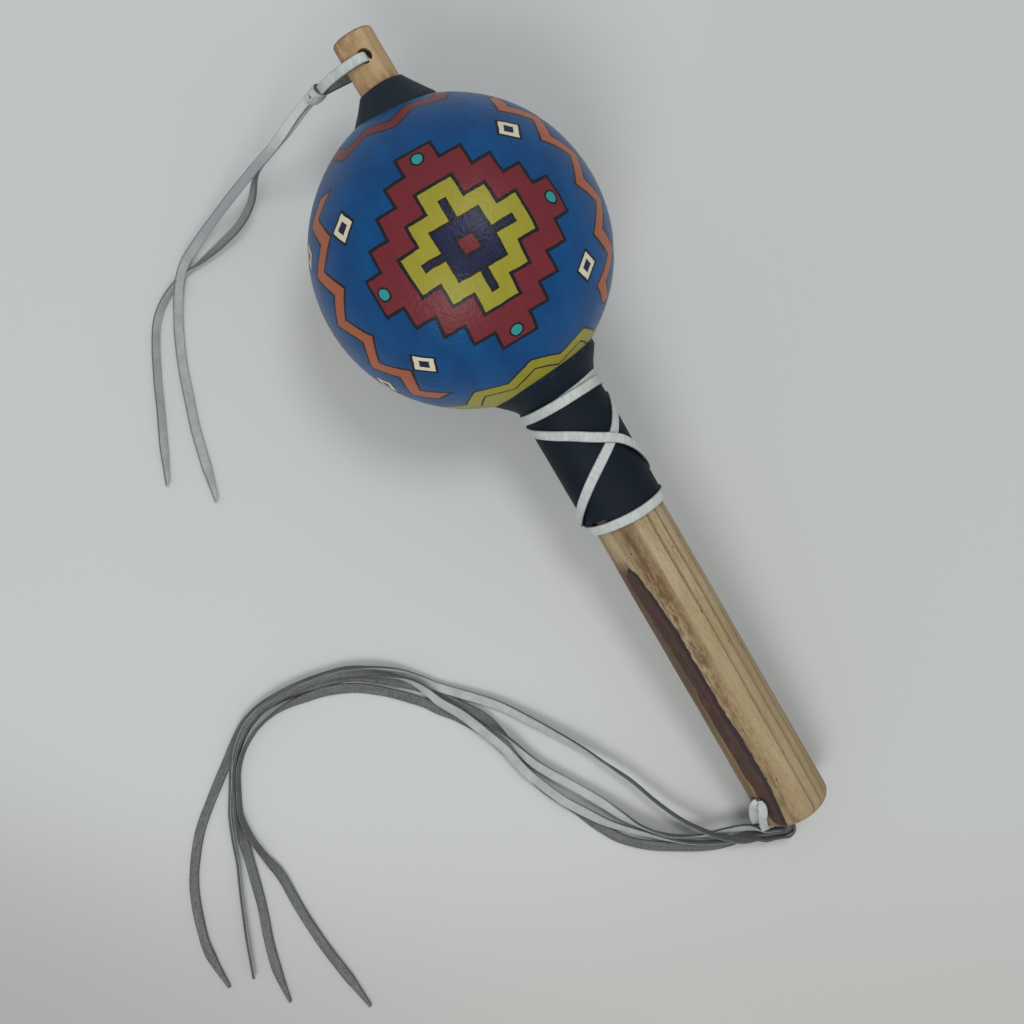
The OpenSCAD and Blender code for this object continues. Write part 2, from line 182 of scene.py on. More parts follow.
def fill_ramp(ramp, mode, stops):
    ramp.interpolation = mode
    ramp.elements.remove(ramp.elements[1])
    ramp.elements[0].position, ramp.elements[0].color = stops[0]
    for at, colour in stops[1:]:
        ramp.elements.new(at).color = colour


def paint(red, green, blue):
    """A screen colour, 0 to 255, as the shader's own numbers."""
    def linear(level):
        share = level / 255
        return share / 12.92 if share <= 0.04045 else ((share + 0.055) / 1.055) ** 2.4
    return (linear(red), linear(green), linear(blue), 1)


# Gourd: its meridian is an arc whose centre lies a little beyond the axis.
GOURD_ARC = 51.49
GOURD_BEYOND = 3.09
GOURD_WALL = 3.6

INK = paint(22, 24, 30)
BLUE = paint(0, 71, 124)
BLUE_DEEP = paint(0, 61, 111)
RED = paint(106, 36, 43)
YELLOW = paint(144, 138, 42)
NAVY = paint(24, 28, 60)
TEAL = paint(44, 140, 138)
CREAM = paint(206, 200, 176)
ORANGE = paint(158, 84, 54)

# The painted design, which repeats round the gourd. East and north are millimetres on its skin.
REPEATS = 3
PAINT_LINE = 0.95
PAINT_BLEED = 0.06
# A hand's wobble, slow and quick: size, detail and reach.
WOBBLES = ((22.0, 1.0, 2.2), (2.6, 2.0, 0.55))
MEDALLION_STEPS = (6.5, 13.5, 20.5, 27.5, 34.0)
MEDALLION_BANDS = ((RED, 5.8), (YELLOW, 4.4), (NAVY, 4.2), (RED, 2.6))
MEDALLION_DEEP = 24.0
ZIGZAG_STEP = 8.0
ZIGZAG_SLANT = 0.72
RIBBON_HALF = 3.1
RIBBON_REACH = 39.5
LOZENGE_EAST = 13.5
LOZENGE_NORTH = 24.0
LOZENGE_SLANT = 0.8
LOZENGE_HALF = 4.4
LOZENGE_HEART = 2.7
TEETH = 9
TOOTH_HIGH = 5.0
NECK_TEETH_FROM = 43.5
PEG_TEETH_FROM = 47.0
TOOTH_LINE = 0.76
TOOTH_BAND = 5.2
TOOTH_END = 6.0
DOT_OUT = 30.0
DOT_R = 2.3
DOT_LINE = 0.6
# Whole repeats, added so that a pattern counts up from nothing everywhere.
ZIGZAGS_BACK = 25
TEETH_BACK = 40
RINGS_BACK = 40


def gourd_look():
    look = Look("painted_gourd", gourd_place)
    drawn = look.spot
    for size, detail, reach in WOBBLES:
        drift = look.mottle(size, detail, 0.5, out="Color")
        offset = look.node("VectorMath", {"operation": "SUBTRACT"}, {0: drift, 1: (0.5, 0.5, 0.5)})
        drawn = look.node("VectorMath", {"operation": "MULTIPLY_ADD"}, {0: offset, 1: (reach,) * 3, 2: drawn})
    along, side, up = look.parts(drawn)
    round_r = (side * side + up * up).math("SQRT")
    north = GOURD_ARC * along.math("ARCTAN2", round_r + GOURD_BEYOND)
    angle = side.math("ARCTAN2", up)
    half_repeat = math.pi / REPEATS
    east = round_r * angle.math("WRAP", half_repeat, -half_repeat)
    gap_east = round_r * (angle + half_repeat).math("WRAP", half_repeat, -half_repeat)
    wide = abs(east)
    tall = abs(north)

    def over(ground, depth, *bands):
        """Colours over a ground, each from its own depth inside a shape."""
        for start, colour in bands:
            ground = look.mix((depth - start).rise(-PAINT_BLEED, PAINT_BLEED), ground, colour)
        return ground

    # Stepped medallion: the depth inside a stack of crossed blocks picks its bands.
    inside = None
    for half_wide, half_tall in zip(reversed(MEDALLION_STEPS), MEDALLION_STEPS):
        depth = (half_wide - wide).least(half_tall - tall)
        inside = depth if inside is None else inside.most(depth)
    stops = [(0.0, INK)]
    edge = PAINT_LINE
    for colour, thick in MEDALLION_BANDS:
        stops.append((edge / MEDALLION_DEEP, colour))
        edge += thick
        stops.append((edge / MEDALLION_DEEP, INK))
        edge += PAINT_LINE
    stops.append((edge / MEDALLION_DEEP, CREAM))
    medallion = look.node("ValToRGB", {"stops": ("CONSTANT", stops)}, {0: inside / MEDALLION_DEEP})

    blotch = look.mottle(9.0, 3.0, 0.6, look.stretch(0.5, 1.0, 1.0))
    ground = look.mix(blotch.rise(0.3, 0.72), BLUE_DEEP, BLUE)
    # Zigzag ribbon between the medallions, from collar to collar.
    zigzag = (north + ZIGZAGS_BACK * ZIGZAG_STEP).math("PINGPONG", ZIGZAG_STEP) - ZIGZAG_STEP / 2
    ribbon = (RIBBON_HALF - abs(gap_east - zigzag) * ZIGZAG_SLANT).least(RIBBON_REACH - tall)
    ground = over(ground, ribbon, (0.0, INK), (PAINT_LINE, ORANGE))
    # Small cream lozenges beside the ribbon.
    off_lozenge = abs(abs(gap_east) - LOZENGE_EAST) + abs(tall - LOZENGE_NORTH)
    lozenge = LOZENGE_HALF - off_lozenge * LOZENGE_SLANT
    ground = over(ground, lozenge, (0.0, INK), (PAINT_LINE, CREAM), (LOZENGE_HEART, NAVY))
    # Toothed borders at both collars.
    teeth = (angle * (TEETH / math.pi) + TEETH_BACK).math("PINGPONG", 1.0)
    for past, fill, far in ((-north - NECK_TEETH_FROM, YELLOW, YELLOW), (north - PEG_TEETH_FROM, RED, BLUE)):
        border = past - TOOTH_HIGH * teeth
        ground = over(ground, border, (0.0, INK), (TOOTH_LINE, fill), (TOOTH_BAND, INK), (TOOTH_END, far))
    colour = over(ground, inside, (0.0, medallion))
    # Teal dots on the medallion's four arms.
    off_dots = []
    for off_east, off_north in ((wide - DOT_OUT, north), (east, tall - DOT_OUT)):
        off_dot = look.vector(off_east, off_north, 0.0)
        off_dots.append(look.node("VectorMath", {"operation": "LENGTH"}, {0: off_dot}, "Value"))
    dot = DOT_R - off_dots[0].least(off_dots[1])
    colour = over(colour, dot, (0.0, INK), (DOT_LINE, TEAL))

    # The dark lines are burnt into the shell. Brush marks darken and lighten the paint a little.
    red, green, blue = look.parts(colour, "SeparateColor")
    groove = red.most(green).most(blue).rise(0.045, 0.02)
    brush = look.mottle(3.2, 4.0, 0.65, look.stretch(0.25, 1.0, 1.0))
    fleck = look.mottle(0.7, 2.0, 0.5)
    orange_peel = look.mottle(1.3, 3.0, 0.6)
    colour = look.node("HueSaturation", None, {"Value": 0.86 + 0.28 * brush, "Color": colour})
    height = 0.7 * orange_peel + 0.35 * fleck + 0.3 * brush - 1.2 * groove
    return look.finish(colour, rough=0.26 + 0.16 * brush, shine=0.22, height=height, depth=0.24)


# Year rings lie in nearly flat sheets: wide on top, and narrow lines down the side away from the thongs.
RING_ALONG = 0.008
RING_ASIDE = 0.42
RING_UP = 0.906
RING_GAP = 3.5
RING_WAVE = 5.0
# Stretches of the stick where the wood's colour comes in: the grip, and the peg with its foot, tip and rim.
DULL_GRIP = (-118.0, -170.0)
PEG_WOOD = (50.0, 54.0)
PEG_FOOT_UP = (50.0, 56.0)
PEG_FOOT_DOWN = (62.0, 57.0)
PEG_TIP = (67.0, 75.0)
PEG_TIP_ASIDE = (-3.0, 5.0)
PEG_RIM = (74.5, 75.3)
# What the stick's mesh tells its look about the bark: its streak, its stain, its brown side and its dark rim.
BARK_MARKS = ("bark_streak", "bark_stain", "bark_brown", "bark_rim")


def wood_look():
    look = Look("stick_wood", stick_place)
    along, side, up = look.parts(look.spot)

    def drawn_out(along_scale, across_scale, detail, rough):
        """Noise drawn out along the stick, by its scales along and across."""
        return look.mottle(1.0, detail, rough, look.stretch(along_scale, across_scale, across_scale))

    wave = drawn_out(0.005, 0.08, 2.0, 0.5)
    fibre = drawn_out(0.03, 1.3, 4.0, 0.7)
    fine = drawn_out(0.1, 4.5, 3.0, 0.65)
    cloud = drawn_out(0.04, 0.16, 3.0, 0.6)
    patch = drawn_out(0.2, 0.55, 4.0, 0.7)
    flecks = drawn_out(0.5, 1.2, 5.0, 0.8)
    sheet = side * RING_ASIDE + up * RING_UP + along * RING_ALONG + RING_WAVE * wave
    ring = (sheet / RING_GAP + RINGS_BACK).math("FRACT")
    late = ring.rise(0.6, 0.94) * ring.rise(1.0, 0.96)
    pits = look.node("TexVoronoi", None, {"Vector": look.stretch(0.1, 0.3, 0.3), "Scale": 1.0},
                     "Distance")
    speck = pits.rise(0.1, 0.05)
    streak, stain, brown, rim = (look.mark(name) for name in BARK_MARKS)

    peg = along.rise(*PEG_WOOD)
    tip = along.rise(*PEG_TIP) * side.rise(*PEG_TIP_ASIDE)
    foot = along.rise(*PEG_FOOT_DOWN) * along.rise(*PEG_FOOT_UP)
    blot = (stain * (patch.rise(0.4, 0.6) * 0.9 + fibre.rise(0.42, 0.66) * 0.6)).least(0.95)
    wood = look.coats(
        look.mix(cloud.rise(0.35, 0.7), paint(174, 156, 123), paint(160, 140, 106)),
        (late * (0.5 + 0.5 * cloud), paint(108, 84, 54)),
        (fibre.rise(0.5, 0.78) * 0.5, paint(126, 101, 67)),
        (fine.rise(0.5, 0.8) * 0.42, paint(106, 85, 58)),
        (flecks.rise(0.48, 0.66) * 0.42, paint(112, 90, 60)),
        (flecks.rise(0.46, 0.32) * 0.3, paint(186, 168, 134)),
        (along.rise(*DULL_GRIP) * 0.32, paint(140, 118, 82)),
        (peg * 0.45, paint(190, 158, 116)),
        (peg * patch.rise(0.42, 0.7) * 0.45, paint(154, 112, 70)),
        ((tip + foot).least(1.0) * patch.rise(0.32, 0.6) * 0.7, paint(126, 86, 52)),
        (along.rise(*PEG_RIM) * 0.5, paint(92, 66, 44)),
        (blot, paint(96, 70, 42)),
        (brown * (0.78 + fibre.rise(0.35, 0.65) * 0.2), paint(86, 64, 49)))
    # The bark that is left on the grip, darkest at its crisp edge.
    bark = look.coats(
        look.mix(fibre.rise(0.35, 0.7), paint(58, 40, 37), paint(80, 58, 50)),
        (patch.rise(0.5, 0.72) * 0.55, paint(94, 70, 56)),
        (rim * 0.85, paint(38, 31, 33)))
    ragged = (streak + 0.45 * (fibre - 0.5) + 0.3 * (fine - 0.5)).rise(0.4, 0.56)
    colour = look.coats(wood, (ragged, bark), (speck * 0.8, paint(58, 40, 28)))
    height = 0.5 * fibre + 0.3 * fine - 0.4 * late - 0.8 * speck
    return look.finish(colour, rough=0.56 + 0.2 * fibre, shine=0.3, height=height, depth=0.24)


# Painted light: the peg's collar is painted a little greyer and paler than the neck's, which lies on the
# other side of the gourd's middle.
LIT_PEG_COLLAR = (0.0, 10.0)


def collar_look():
    look = Look("collar_leather", stick_place)
    along = look.parts(look.spot)[0]
    grain = look.cells(0.9, 0.6)
    cloud = look.mottle(7.0, 4.0, 0.6)
    scuff = look.mottle(1.3, 4.0, 0.7, look.stretch(1.0, 0.35, 0.35))
    colour = look.coats(
        look.mix(cloud, paint(2, 14, 25), paint(13, 28, 41)),
        # Painted light: the peg's collar paler than the neck's.
        (along.rise(*LIT_PEG_COLLAR) * 0.6, paint(32, 42, 52)),
        (look.mark("rim_wear") * scuff.rise(0.5, 0.75) * 0.4, paint(96, 104, 110)))
    height = 0.5 * grain + 0.6 * cloud + 0.3 * scuff
    return look.finish(colour, rough=0.46 + 0.2 * scuff, shine=0.18, height=height, depth=0.2)


def sleeve_look():
    look = Look("sleeve_leather", stick_place)
    pebbling = look.cells(1.5, 0.5)
    cloud = look.mottle(9.0, 4.0, 0.6)
    dust = look.mottle(0.7, 3.0, 0.7)
    colour = look.coats(
        look.mix(cloud, paint(4, 13, 22), paint(16, 27, 38)),
        (dust.rise(0.64, 0.78) * 0.4, paint(84, 92, 96)),
        (look.mark("cut_edge") * dust.rise(0.3, 0.7), paint(92, 94, 92)))
    height = 0.9 * pebbling + 0.4 * cloud
    return look.finish(colour, rough=0.5 + 0.22 * dust, shine=0.16, height=height, depth=0.16)


# The peg's thong is painted brightest at its knot, with painted shade where it hangs free: heights over the
# floor, and tones.
BRIGHT_OVER = (29.0, 38.0)
SHADED_OVER = (3.0, 9.0)
SHADED_UNDER = (32.0, 24.0)
BRIGHT_WHITE = paint(198, 203, 202)
SHADED_WHITE = paint(140, 144, 147)


def lace_look(name, white_tones, grey_tones, crease_shade, shaded_by_height=False):
    """White leather: smooth and finely wrinkled on its grain side, grey and rough on its flesh side."""
    look = Look(name, row_place)
    grain_side = look.mark("grain_side")
    run = look.mark("lace_run")
    side = look.mark("lace_side")
    cloud = look.mottle(6.0, 3.0, 0.6)
    nap = look.mottle(0.45, 3.0, 0.75)
    wrinkle = look.mottle(1.0, 1.0, 0.5, look.vector(run * 2.6 + side * 1.4, side * 0.6, cloud * 1.4))
    streaks = look.mottle(1.0, 3.0, 0.6, look.vector(run * 0.12, side * 1.6, cloud))
    # Both edges of the lace, on either side, are darkened: partly fuzz of cut fibres, partly painted shade
    # along the edge.
    fuzz_and_edge_shade = abs(side).rise(0.72, 0.98) * nap.rise(0.25, 0.6)
    white = look.mix(cloud.rise(0.3, 0.7), *white_tones)
    # Painted shade by height over the floor: duller where the thong hangs free, brightest near its knot.
    if shaded_by_height:
        over_floor = look.parts(look.spot)[2]
        painted_shade = over_floor.rise(*SHADED_OVER) * over_floor.rise(*SHADED_UNDER)
        white = look.coats(white, (painted_shade * 0.8, SHADED_WHITE), (over_floor.rise(*BRIGHT_OVER), BRIGHT_WHITE))
    white = look.coats(
        white,
        # Painted shade on the wrinkles, by the share given.
        (wrinkle.rise(0.42, 0.7) * crease_shade, paint(140, 144, 142)),
        (fuzz_and_edge_shade * 0.55, paint(96, 98, 97)))
    grey = look.coats(
        look.mix(nap.rise(0.3, 0.7), *grey_tones),
        (streaks.rise(0.45, 0.7) * 0.45, paint(126, 128, 126)),
        (fuzz_and_edge_shade * 0.6, paint(50, 52, 51)))
    colour = look.mix(grain_side.rise(0.4, 0.6), grey, white)
    height = grain_side * 0.7 * wrinkle + (1 - grain_side) * 0.6 * nap + 0.15 * nap
    return look.finish(colour, rough=0.86 - 0.3 * grain_side, shine=0.25, height=height, depth=0.2)


def pebble_look():
    look = Look("pebble_stone", row_place)
    cloud = look.mottle(2.0, 4.0, 0.6)
    fleck = look.mottle(0.35, 2.0, 0.6)
    colour = look.coats(
        look.mix(cloud, paint(150, 142, 130), paint(112, 106, 100)),
        (fleck.rise(0.6, 0.75) * 0.6, paint(60, 58, 58)))
    return look.finish(colour, rough=0.6 + 0.2 * fleck, shine=0.5, height=cloud + 0.4 * fleck, depth=0.1)


# The camera looks straight down.
CAMERA_PLACE = Vector((-6.32, 28.8, 455.0))
CAMERA_TURN = math.radians(-120.78)
CAMERA_LENS = 43.95
CAMERA_SENSOR = 36.0
# Where painted shade darkens the board, as millimetres from the picture's middle.
SHADE_RIGHT = (10.0, 120.0)
SHADE_DOWN = (90.0, 190.0)
SHADE_CORNER = (150.0, 290.0)


def floor_look():
    """A pale board with painted shade: it falls off a little in brightness to the right and down the picture.
    """
    look = Look("pale_board", row_place)
    from_camera = look.node("VectorMath", {"operation": "SUBTRACT"}, {0: look.spot, 1: CAMERA_PLACE})
    along, side, _ = look.parts(from_camera)
    down = along * math.sin(CAMERA_TURN) - side * math.cos(CAMERA_TURN)
    right = along * math.cos(CAMERA_TURN) + side * math.sin(CAMERA_TURN)
    cloud = look.mottle(160.0, 2.0, 0.5)
    colour = look.coats(
        look.mix(cloud, paint(195, 197, 196), paint(198, 200, 199)),
        # Painted shade: the board darker to the right, down the picture and towards the lower corner.
        (right.rise(*SHADE_RIGHT), paint(190, 192, 190)),
        (down.rise(*SHADE_DOWN), paint(185, 185, 181)),
        ((down - 0.5 * right).rise(*SHADE_CORNER) * 0.9, paint(168, 168, 166)))
    return look.finish(colour, rough=0.9, shine=0.2)


def turned(profile, steps):
    """Turns a profile of (place along the stick, radius) round the stick."""
    bm = bmesh.new()
    spots = [bm.verts.new((along, 0, radius)) for along, radius in profile]
    edges = [bm.edges.new(pair) for pair in zip(spots, spots[1:])]
    bmesh.ops.spin(bm, geom=spots + edges, cent=(0, 0, 0), axis=(1, 0, 0), angle=2 * math.pi, steps=steps,
                   use_merge=True)
    bmesh.ops.remove_doubles(bm, verts=bm.verts, dist=0.001)
    bmesh.ops.recalc_face_normals(bm, faces=bm.faces)
    return bm


def rod(start, end, radius):
    """A round rod between two points, for drilling."""
    run = end - start
    bm = bmesh.new()
    place = Matrix.Translation((start + end) / 2) @ run.to_track_quat("Z", "Y").to_matrix().to_4x4()
    bmesh.ops.create_cone(bm, cap_ends=True, segments=48, radius1=radius, radius2=radius, depth=run.length,
                          matrix=place)
    return bm


def placed(name, bm):
    """A shape as an object in the scene."""
    mesh = bpy.data.meshes.new(name)
    bm.to_mesh(mesh)
    bm.free()
    thing = bpy.data.objects.new(name, mesh)
    scene.collection.objects.link(thing)
    return thing


def cut_away(bm, *cutters):
    """The shape without what the cutters take away."""
    held = [placed(f"cutting_{k}", shape) for k, shape in enumerate((bm, *cutters))]
    for cutter in held[1:]:
        step = held[0].modifiers.new(cutter.name, "BOOLEAN")
        step.operation = "DIFFERENCE"
        step.solver = "EXACT"
        step.object = cutter
    kept = bmesh.new()
    kept.from_object(held[0], bpy.context.evaluated_depsgraph_get())
    for thing in held:
        mesh = thing.data
        bpy.data.objects.remove(thing)
        bpy.data.meshes.remove(mesh)
    return kept


def ruffle(bm, size, depth, seed):
    """Moves the surface in and out by a slow noise, as hand work is uneven."""
    bm.normal_update()
    for v in bm.verts:
        v.co += v.normal * depth * noise.noise(v.co / size + Vector((seed, seed, seed)))


def layer(items, name):
    """The values by that name on a shape's points or faces, made where they are missing."""
    return items.layers.float.get(name) or items.layers.float.new(name)


SHARP_EDGE = math.radians(38.0)


def show(name, bm, look, place, node_names):
    """Makes a shape a piece that rides on the rattle and stands for its CAD nodes."""
    bmesh.ops.transform(bm, matrix=place, verts=bm.verts)
    piece = placed(name, bm)
    piece.data.shade_smooth()
    piece.data.set_sharp_from_angle(angle=SHARP_EDGE)
    piece.data.materials.append(look)
    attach(piece, "rattle")
    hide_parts(*node_names)
    return piece


def meridian(inset, steps):
    """Points of the gourd's outline from neck to peg, shrunk by an inset."""
    radius = GOURD_ARC - inset
    pole = math.acos(GOURD_BEYOND / radius)
    turns = [pole * (2 * k / steps - 1) for k in range(steps + 1)]
    return [(radius * math.sin(a), max(0.0, radius * math.cos(a) - GOURD_BEYOND)) for a in turns]


PEG_R = 7.0
FIT = 0.05
BORE_R = PEG_R + FIT
STICK_BORE = Vector((0, -GOURD_ASIDE, 0))
BORE_REACH = Vector((90, 0, 0))
# The gourd is a little wider than it is high.
GOURD_SWELL = Vector((1.005, 1.017, 1.0))


def gourd_shape():
    outer = turned(meridian(0.0, 120), steps=192)
    ruffle(outer, size=26.0, depth=0.35, seed=3.0)
    bmesh.ops.scale(outer, vec=GOURD_SWELL, verts=outer.verts)
    hollow = turned(meridian(GOURD_WALL, 60), steps=96)
    bore = rod(STICK_BORE - BORE_REACH, STICK_BORE + BORE_REACH, BORE_R)
    return cut_away(outer, hollow, bore)


SHOULDER = -51.4
BUTT_END = -225.2
PEG_END = 75.6
NECK_R = 12.3
BUTT_R = 12.85
BUTT_ROUND = 4.0
PEG_ROUND = 1.2
PEG_HOLE = 67.0
PEG_HOLE_R = 2.4
BUTT_HOLE_R = 2.1
BUTT_MOUTH = -214.5
BUTT_MOUTH_AT = math.radians(58)
BUTT_HOLE_SIDE = Vector((BUTT_MOUTH, BUTT_R * math.sin(BUTT_MOUTH_AT), BUTT_R * math.cos(BUTT_MOUTH_AT)))
BUTT_HOLE_FOOT = Vector((BUTT_END, 3.5, -3.5))
butt_hole_way = (BUTT_HOLE_FOOT - BUTT_HOLE_SIDE).normalized()
PEG_DRILL = 12.0
BUTT_DRILL = 6.0
RIM_STEPS = 6


def rounded_end(radius, at, size, way):
    """Points of a rounded rim, from the end face to the side where way is -1, and back where it is 1."""
    turns = [math.pi / 2 * k / RIM_STEPS for k in range(RIM_STEPS + 1)]
    if way < 0:
        turns.reverse()
    return [(at - way * size * (1 - math.sin(a)), radius - size * (1 - math.cos(a))) for a in turns]


# The bark streak, from butt to sleeve: place along the stick, angles of its crisp and of its ragged edge.
STREAK = (
    (-224.5, 34, 50), (-216, 28.5, 58), (-208, 25, 57), (-200, 24.5, 58), (-186, 25, 60),
    (-180, 27.5, 62), (-175, 29, 61), (-166, 29, 57), (-151, 30, 60), (-144, 28.5, 62),
    (-138, 31, 63), (-130, 33.5, 65), (-124.5, 38, 67), (-120, 39.5, 66), (-117, 48, 54))
STREAK_DEEP = 0.026
STAIN_AT = 19.0
# Stretches of the grip, and angles round it, over which its marks come in or fade.
STAIN_WIDE = (20.0, 3.0)
STAIN_STRONGER = (-190.0, -140.0)
STAIN_END = (-101.0, -106.0)
BROWN_BELOW = (112.0, 92.0)
BROWN_STRONGER = (-190.0, -165.0)
BROWN_END = (-112.0, -118.0)
# No bark mark lies on the stick past this place, or nearer to its axis than this.
BARK_END = -100.0
BARK_R = 10.0


def between(rows, at, column):
    """A column's value at a place, straight between rows that rise in their first column."""
    for low, high in zip(rows, rows[1:]):
        if at <= high[0]:
            share = max(0.0, (at - low[0]) / (high[0] - low[0]))
            return low[column] + share * (high[column] - low[column])
    return rows[-1][column]


def part_way(value, low, high):
    """How far a value has come from low to high, 0 to 1."""
    return min(1.0, max(0.0, (value - low) / (high - low)))


def bark_marks(along, angle):
    """How far a place on the grip is in the streak, stained before it, brown past it, or at its rim."""
    crisp = between(STREAK, along, 1) + 1.3 * noise.fractal(Vector((along / 3, 3.0, 1.0)), 0.9, 2.1, 3)
    ragged = between(STREAK, along, 2) + 3.0 * noise.noise(Vector((along / 6, 8.0, 2.0)))
    streak = min(part_way(angle, crisp - 1.6, crisp + 1.6), part_way(angle, ragged + 5.0, ragged - 5.0))
    rim = part_way(abs(angle - crisp - 4.0), 7.0, 1.0)
    if not STREAK[0][0] < along < STREAK[-1][0]:
        streak = rim = 0.0
    stain = part_way(abs(angle - STAIN_AT), *STAIN_WIDE) * part_way(along, *STAIN_END)
    stain *= 0.55 + 0.45 * part_way(along, *STAIN_STRONGER)
    brown = part_way(angle, ragged - 10.0, ragged - 4.0) * part_way(angle, *BROWN_BELOW)
    brown *= (0.6 + 0.4 * part_way(along, *BROWN_STRONGER)) * part_way(along, *BROWN_END)
    return streak, stain, brown, rim


def angle_round(spot):
    """Degrees round the stick, from its top towards the side where the thongs lie."""
    return math.degrees(math.atan2(spot.y, spot.z))


GRIP_RING = 0.8
SPINDLE_RINGS = 40


def stick_shape():
    grip_from = BUTT_END + BUTT_ROUND
    rings = int((SHOULDER - grip_from) / GRIP_RING)
    grip = []
    for k in range(1, rings + 1):
        share = k / rings
        grip.append((grip_from + share * (SHOULDER - grip_from), BUTT_R + share * (NECK_R - BUTT_R)))
    spindle_ring = (PEG_END - PEG_ROUND - SHOULDER) / SPINDLE_RINGS
    spindle = [(SHOULDER + k * spindle_ring, PEG_R) for k in range(SPINDLE_RINGS)]
    profile = [(BUTT_END, 0.0), (BUTT_END, 5.0)] + rounded_end(BUTT_R, BUTT_END, BUTT_ROUND, -1) + grip
    profile += spindle + rounded_end(PEG_R, PEG_END, PEG_ROUND, 1) + [(PEG_END, 3.5), (PEG_END, 0.0)]
    bm = turned(profile, steps=240)
    ruffle(bm, size=14.0, depth=0.12, seed=7.0)
    for v in bm.verts:
        if v.co.x < BARK_END:
            streak = bark_marks(v.co.x, angle_round(v.co))[0]
            v.co.yz *= 1 - STREAK_DEEP * streak
    peg_way = Vector((0, 0, PEG_DRILL))
    peg_hole = Vector((PEG_HOLE, 0, 0))
    past_butt = butt_hole_way * BUTT_DRILL
    bm = cut_away(
        bm,
        rod(peg_hole - peg_way, peg_hole + peg_way, PEG_HOLE_R),
        rod(BUTT_HOLE_SIDE - past_butt, BUTT_HOLE_FOOT + past_butt, BUTT_HOLE_R))
    marks = [layer(bm.verts, name) for name in BARK_MARKS]
    for v in bm.verts:
        if v.co.x < BARK_END and v.co.yz.length > BARK_R:
            for mark, share in zip(marks, bark_marks(v.co.x, angle_round(v.co))):
                v[mark] = share
    return bm


WEAR_WIDE = 1.4


def seated_on_gourd(profile, start, full, aside, worn):
    """A collar bedded on the gourd and worn at one place. It leans to the thong side from start to full."""
    bm = turned(profile, steps=144)
    ruffle(bm, size=6.0, depth=0.22, seed=5.0)
    for v in bm.verts:
        if v.co.yz.length > PEG_R + 1:
            v.co.y += aside * part_way(v.co.x, start, full)
    ball = turned(meridian(-0.04, 90), steps=144)
    bmesh.ops.translate(ball, verts=ball.verts, vec=(0, GOURD_ASIDE, 0))
    bm = cut_away(bm, ball)
    wear = layer(bm.verts, "rim_wear")
    for v in bm.verts:
        v[wear] = max(0.0, 1.0 - abs(v.co.x - worn) / WEAR_WIDE)
    return bm


PEG_COLLAR_BED = 41.5
PEG_COLLAR_RIM = 46.9
PEG_COLLAR_TOP = 57.6


def peg_collar_shape():
    return seated_on_gourd([
        (PEG_COLLAR_BED, BORE_R), (PEG_COLLAR_BED, 14.8), (PEG_COLLAR_RIM, 15.8), (47.6, 15.6), (48.1, 15.3),
        (50.0, 13.6), (52.0, 12.0), (54.0, 10.4), (56.0, 8.9), (57.2, 8.0), (57.5, 7.8),
        (PEG_COLLAR_TOP, 7.5), (PEG_COLLAR_TOP, BORE_R), (PEG_COLLAR_BED, BORE_R)],
        start=PEG_COLLAR_TOP, full=PEG_COLLAR_RIM, aside=1.1, worn=57.5)


NECK_BED = -34.0
NECK_RIM = -46.0
NECK_LOW = -54.9
NECK_LIP_R = 14.16
NECK_LIP_TOP = -54.1
NECK_GRIP_R = NECK_R + 0.1


def neck_collar_shape():
    return seated_on_gourd([
        (NECK_BED, BORE_R), (NECK_BED, 19.4), (-42.0, 20.2), (NECK_RIM, 20.4), (-46.6, 20.3), (-47.2, 19.9),
        (-48.6, 18.8), (-50.0, 17.7), (-51.4, 16.5), (-52.6, 15.6), (-53.4, 15.0), (-54.0, 14.7),
        (-54.6, 14.5), (NECK_LOW, 14.36), (NECK_LOW, NECK_LIP_R), (NECK_LIP_TOP, NECK_LIP_R),
        (NECK_LIP_TOP, NECK_GRIP_R), (SHOULDER + FIT, NECK_GRIP_R), (SHOULDER + FIT, BORE_R),
        (NECK_BED, BORE_R)],
        start=NECK_LOW, full=NECK_RIM, aside=1.6, worn=-46.4)


SLEEVE_TOP = -54.2
SLEEVE_LOW = -101.6
SLEEVE_R = 14.1
SLEEVE_THICK = 1.5
SLEEVE_ROWS = 60
SLEEVE_CUT_EDGE = 0.3
SEAM_HALF = math.radians(1.0)
NOTCH_AT = 49.0
NOTCH_HALF = 15.0
NOTCH_HIGH = 3.8


